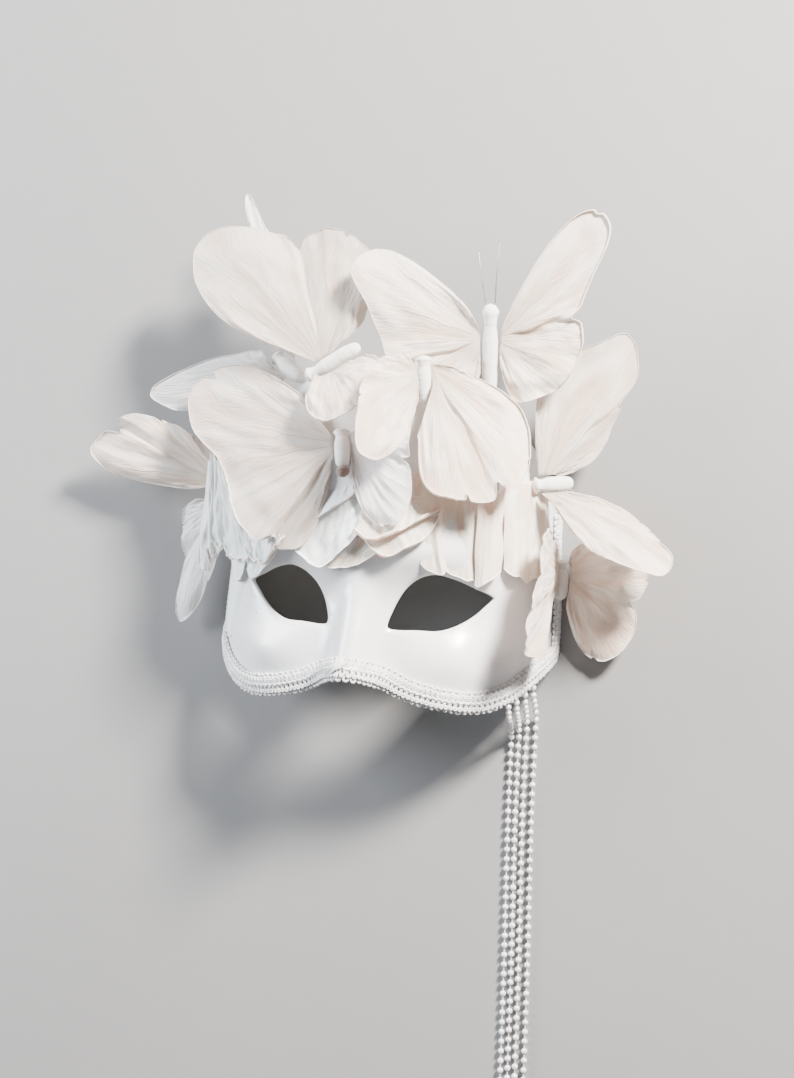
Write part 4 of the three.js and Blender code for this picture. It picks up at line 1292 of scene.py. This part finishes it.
# Petals over the brow. A sheet runs from its root to its rim, each given by points across it. "folds" gives
# the heights of its folds across the root and across the rim, "curl" how far the rim rolls up, "torn" and
# "crumple" how deep it is torn and crumpled, "round" how round its corners are, and "laid" its height over
# the shell.
PETAL_COLUMNS = 64
PETAL_ROWS = 30
PETAL_ROLL_ROWS = 9
PETAL = {"thickness": 0.45, "fold": 0.9, "roll": 1.2, "roll_share": 0.07, "round": 0.16, "sway": 2.0,
         "wave": 0.03, "wave_apart": 5, "tear_apart": 1.7, "tear_from": 0.05, "corner_power": 6,
         "side_power": 4, "rest": 0.5, "at_root": 0.35}
PETALS = {
    "petal_left": {"silk": SILK_WHITE, "sheets": [
        {"root": [(-33.5, 41, 70.5), (-16.5, 48.5, 75.5), (1, 48.5, 78)],
         "rim": [(-47, 30.5, 66), (-30.5, 20.5, 74), (-18.5, 14, 73.6), (-5.5, 24, 77.5), (5, 35, 78)],
         "curl": 0.45, "crumple": 0.8, "folds": ([0, 0, 0, 0, 0], [0, 1.2, 0, 1.4, 0])},
        {"root": [(-22, 58, 71), (-5, 60, 74)],
         "rim": [(-38, 31.5, 70), (-21.5, 37.5, 76.5), (-11, 44, 79), (-3, 50, 80)],
         "curl": 0.7, "folds": ([0, 0, 0], [0, 1.4, 0])},
    ]},
    "petal_centre": {"silk": SILK_WARM, "sheets": [
        {"root": [(-10, 34, 75.8), (12, 36, 77)],
         "rim": [(-20, 14, 71), (-6, 14.5, 74.5), (10, 20, 77.5)], "curl": 0.3},
    ]},
    "petal_rose": {"silk": SILK_WARM, "sheets": [
        {"root": [(15, 64, 76), (38, 64, 70.5)],
         "rim": [(18.5, 44, 77.5), (30, 43.5, 75.5), (40.5, 42.5, 71.5)], "curl": 0.5},
        {"root": [(2, 40, 77.5), (20, 44, 76.5), (36, 48, 72)],
         "rim": [(4.5, 26, 78), (14, 20.5, 78), (24.5, 25.5, 77.5), (33.5, 31.5, 74.5), (40, 42.5, 71)],
         "curl": 0.8},
        {"root": [(2, 46, 79), (19, 51, 78.5), (35, 53, 74)],
         "rim": [(-1.5, 30.5, 79.5), (9.5, 28.5, 81.5), (20, 32.5, 81), (30, 39, 78.5), (40, 45, 73.5)],
         "curl": 1.1},
    ]},
    "petal_corner": {"silk": SILK_WHITE, "sheets": [
        {"root": [(-87.5, 67, 54), (-85, 66, 55.5), (-82, 65, 57)],
         "rim": [(-94.5, 25, 29), (-84.5, 19.5, 36), (-74.5, 17, 43), (-64.5, 14.5, 53), (-54.5, 16.5, 61)],
         "curl": 0.6, "torn": 5, "crumple": 2.2,
         "folds": ([0, 1, 0, 1, 0, 1, 0], [0, 1.8, 0.2, 2.2, 0.3, 2, 0])},
        {"root": [(-70, 52, 55), (-58, 47, 62), (-42, 42, 71)],
         "rim": [(-65.5, 19, 54), (-58, 14.5, 59.5), (-51, 14, 64), (-43.5, 20, 71), (-37, 26, 76)],
         "curl": 0.7, "torn": 4, "crumple": 1.8, "folds": ([0, 1, 0, 1, 0], [0, 2.2, 0.3, 1.8, 0])},
        {"root": [(-83.5, 25, 36), (-67, 21.5, 50.5)], "rim": [(-77, 4.5, 37), (-71.5, 4.5, 43.5)],
         "curl": 0.3, "folds": ([0, 1, 0], [0, 1.4, 0])},
        {"root": [(-86.5, 26, 30), (-78, 25, 40.5), (-63, 22, 52)],
         "rim": [(-87, -20, 22), (-83.5, -24, 28), (-77, -27, 35)],
         "laid": -0.7, "curl": 0.05, "round": 0.02, "folds": ([0, 2, 0.8, 1.8, 0], [0, 1.5, 0.7, 1.1, 0])},
    ]},
    "petal_temple": {"silk": SILK_WHITE, "sheets": [
        {"root": [(-91, 70, 52), (-88, 69, 54)],
         "rim": [(-97.5, 10.5, 27), (-93, 12, 29), (-89.5, 17.5, 31), (-84, 21, 34)],
         "curl": 0.9, "torn": 9, "crumple": 2, "folds": ([0, 1, 0, 0.6, 0], [0, 1.8, 0.2, 1.4, 0])},
        {"root": [(-93, 66, 49.5), (-90, 65, 51)],
         "rim": [(-104.5, 13.5, 23), (-99, 7.5, 24), (-94.5, 11, 26)],
         "curl": 0.35, "torn": 6, "crumple": 1.6, "folds": ([0, 1, 0], [0, 1.6, 0])},
    ]},
    "petal_eye_corner": {"silk": SILK_WHITE, "sheets": [
        {"root": [(-69, 25.5, 50), (-43, 24.5, 70)],
         "rim": [(-66.5, 8, 48), (-59.5, 6.5, 53.5), (-54, 10.5, 58), (-47.5, 16, 64)],
         "curl": 0.4, "folds": ([0, 1, 0.2, 1, 0], [0, 1.8, 0.3, 1.6, 0])},
    ]},
    "petal_drape_inner": {"silk": SILK_WARM, "sheets": [
        {"root": [(29, 54, 73), (38, 55, 70)],
         "rim": [(32, 18, 69.5), (38, 15, 66.5), (44, 15.5, 64)],
         "curl": 0.2, "round": 0.04, "folds": ([0, 0.5, 1, 0.5, 0], [0, 0.3, 1.2, 2.8, 0])},
        {"root": [(36, 56, 70), (47, 56, 65), (58, 55, 59)],
         "rim": [(41, 17, 65), (50, 13.5, 60), (58, 13.5, 55)],
         "curl": 0.25, "round": 0.05, "folds": ([1, 0, 0, 0.3, 1], [0.6, -0.6, -0.4, 0.2, 1])},
    ]},
    "petal_drape_middle": {"silk": SILK_WARM, "sheets": [
        {"root": [(56, 58, 64), (62, 58, 61.5), (68, 58, 56)],
         "rim": [(57, 9.5, 58), (62.5, 12.5, 56.5), (68, 18, 52.5)],
         "curl": 0.25, "round": 0.02, "folds": ([0, 0.9, 1.1, 1, 0], [0, 1.1, 1.3, 0.9, 0])},
    ]},
    "petal_drape_outer": {"silk": SILK_WARM, "sheets": [
        {"root": [(67, 64, 51), (77, 66, 38), (84, 68, 24)],
         "rim": [(69, 17.5, 49), (73.5, 16, 43.5), (78.5, 14.5, 37), (82.5, 20, 30)],
         "curl": 0.3, "round": 0.05,
         "folds": ([0, 0.6, 3, 1, 2.4, 0.8, 0], [0, 3, 3.4, 3, 0.4, 2.6, 0])},
        {"root": [(79, 66, 35), (84, 68, 25)],
         "rim": [(81, 15, 35), (84, 20, 28), (87, 27, 20)],
         "curl": 0.3, "round": 0.1, "folds": ([0, 1, 0], [0, 2.2, 0])},
    ]},
}

# How high a petal's wrinkles are, how many millimetres they lie apart, how many lie along it, and their place
# in the noise
PETAL_WRINKLES = {
    "soft": {"height": 1, "apart": 8, "along": 0.8, "layer": 0},
    "narrow": {"height": 0.4, "apart": 3.4, "along": 1, "layer": 3},
    "crease": {"height": 0.9, "apart": 6, "along": 1.4, "lean": 1.2, "layer": 6},
    "fine": {"height": 0.14, "apart": 2, "along": 7, "layer": 9},
    "crackle": {"height": 0.5, "apart": 2.2, "along": 8, "layer": 18},
}
CRUMPLE = {"apart": 4.5, "along": 4.5, "slant": 9, "layer": 15, "grows": (0, 0.3)}
SWAY = {"along": 2.4, "across": 1.5, "layer": 12, "grows": (0, 0.4)}
PETAL_CURL = {"base": 1, "sway": 0.8, "turns": 4, "least": 0.05, "most": 1.15}


def petal_rise(plan, t, s, wide, seed):
    """Height of a petal over its plane: its named folds, soft folds down its length, creases and wrinkles."""
    u = t * wide
    top, foot = plan.get("folds", ([0, 0], [0, 0]))
    soft, narrow, crease, fine, crackle = (wrinkle(kind, u / kind["apart"], s, seed)
                                           for kind in PETAL_WRINKLES.values())
    crumple = ripple(u / CRUMPLE["apart"], s * CRUMPLE["along"] + u / CRUMPLE["slant"],
                     seed + CRUMPLE["layer"]) + abs(crackle)
    rise = PETAL["fold"] * (PETAL["rest"] + (soft + narrow)) - abs(crease) + fine
    rise += plan.get("crumple", 0) * crumple * smoothstep(*CRUMPLE["grows"], s)
    return lerp(along_list(top, t), along_list(foot, t), s) + rise * min(1, PETAL["at_root"] + s)


def petal_reach(plan, t, length, wide, seed):
    """Length of a petal at this share of its width: rounded corners, a wavy rim, torn where the plan says."""
    corners = plan.get("round", PETAL["round"]) * abs(2 * t - 1) ** PETAL["corner_power"]
    wave = PETAL["wave"] * ripple(t * wide / PETAL["wave_apart"], seed, 0)
    tear = max(0.0, ripple(t * wide / PETAL["tear_apart"], seed, 4.5) - PETAL["tear_from"])
    return length * (1 - corners + wave) - tear * plan.get("torn", 0)


def laid_on_shell(point, height):
    """The point moved to this height over the outside of the shell."""
    turn = turn_at(point.x, point.y)
    return face_point(turn, point.y) + face_normal(turn, point.y) * height


def petal_sheet(name, plan, seed):
    """A sheet between its root and its rim, folded down its length, with a rim that curls up."""
    grid = np.zeros((PETAL_ROWS + PETAL_ROLL_ROWS + 1, PETAL_COLUMNS + 1, 3))
    middle = along_points(plan["rim"], 0.5) - along_points(plan["root"], 0.5)
    across = Vector(plan["rim"][-1]) - Vector(plan["rim"][0])
    wide, sideways = across.length, across.normalized()
    normal = across.cross(middle).normalized()
    if normal.z < 0:
        normal = -normal
    radius = min(PETAL["roll"], PETAL["roll_share"] * middle.length)
    for column in range(PETAL_COLUMNS + 1):
        t = column / PETAL_COLUMNS
        root, rim = along_points(plan["root"], t), along_points(plan["rim"], t)
        outward = (rim - root).normalized()
        curl = curl_of(PETAL_CURL, plan["curl"], ripple(t * PETAL_CURL["turns"], seed, 7.5))
        length = petal_reach(plan, t, (rim - root).length, wide, seed)
        reach = length - radius * math.sin(min(curl, math.pi / 2))
        for row in range(PETAL_ROWS + 1):
            s = row / PETAL_ROWS
            wave = ripple(s * SWAY["along"], t * SWAY["across"], seed + SWAY["layer"])
            sway = PETAL["sway"] * smoothstep(*SWAY["grows"], s) * wave
            point = root + outward * (reach * s) + sideways * sway
            rise = petal_rise(plan, t, s, wide, seed)
            if "laid" in plan:
                sunk_sides = 1 - abs(2 * t - 1) ** PETAL["side_power"]
                grid[row, column] = laid_on_shell(point, plan["laid"] + rise * sunk_sides)
            else:
                grid[row, column] = point + normal * rise
        last = Vector(grid[PETAL_ROWS, column])
        for row in range(1, PETAL_ROLL_ROWS + 1):
            turn = curl * row / PETAL_ROLL_ROWS
            grid[PETAL_ROWS + row, column] = rolled_over(last, outward, normal, radius, turn)
    return sheet_mesh(name, grid, PETAL["thickness"])


def make_petal(name, plan, seed):
    sheets = [petal_sheet(name, sheet, seed + 5 * i) for i, sheet in enumerate(plan["sheets"])]
    add_piece(f"{name}_silk", sheets, plan["silk"], "petal", name)


# Floor and light
FLOOR_HALF = 4.0
LIGHTS = [
    {"name": "sun side", "spot": (0.75, 0.75, 0.7), "size": 0.25, "watts": 122, "colour": (1.0, 0.93, 0.85)},
    {"name": "sky side", "spot": (-1.0, 0.25, 0.5), "size": 0.6, "watts": 36, "colour": (0.90, 0.95, 1.0)},
    {"name": "above", "spot": (0.1, -0.6, 1.2), "size": 1.0, "watts": 3, "colour": (1.0, 1.0, 1.0)},
]
ROOM = {"Color": (0.9, 0.93, 1.0, 1.0), "Strength": 0.12}


def floor_material():
    """Plain grey, a little uneven."""
    material, tree, shader = new_material("pale floor", {"Specular IOR Level": 0.2})
    tone = toned(tree, tint(0.27, 0.27, 0.275), tint(0.255, 0.255, 0.26), patches=2.0, grain=60.0,
                 rough=(0.75, 0.85))
    set_inputs(tree, shader, {"Base Color": tone["Color"], "Roughness": tone["Roughness"]})
    return material


def add_floor():
    mesh = bpy.data.meshes.new("floor")
    corners = [(x * FLOOR_HALF, y * FLOOR_HALF, 0) for x, y in ((-1, -1), (1, -1), (1, 1), (-1, 1))]
    mesh.from_pydata(corners, [], [(0, 1, 2, 3)])
    add_object("floor", mesh, floor_material())


def add_lights():
    for plan in LIGHTS:
        data = bpy.data.lights.new(plan["name"], "AREA")
        data.size = plan["size"]
        data.energy = plan["watts"]
        data.color = plan["colour"]
        spot = Vector(plan["spot"])
        turn = spot.to_track_quat("Z", "Y").to_matrix().to_4x4()
        linked(plan["name"], data).matrix_world = Matrix.Translation(spot) @ turn
    world = bpy.data.worlds.new("room")
    world.use_nodes = True
    set_inputs(world.node_tree, world.node_tree.nodes["Background"], ROOM)
    bpy.context.scene.world = world


# The assembled mask
add_camera()
make_strands()
make_shell()
make_braid()
for number, butterfly in enumerate(BUTTERFLIES):
    make_body(butterfly, number)
    for offset, side in enumerate(("left", "right")):
        make_wing(butterfly, side, 2 * number + offset)
for name, lines in ANTENNAE.items():
    make_antennae(name, lines)
for number, (name, plan) in enumerate(PETALS.items()):
    make_petal(name, plan, 40 + 20 * number)
add_floor()
add_lights()
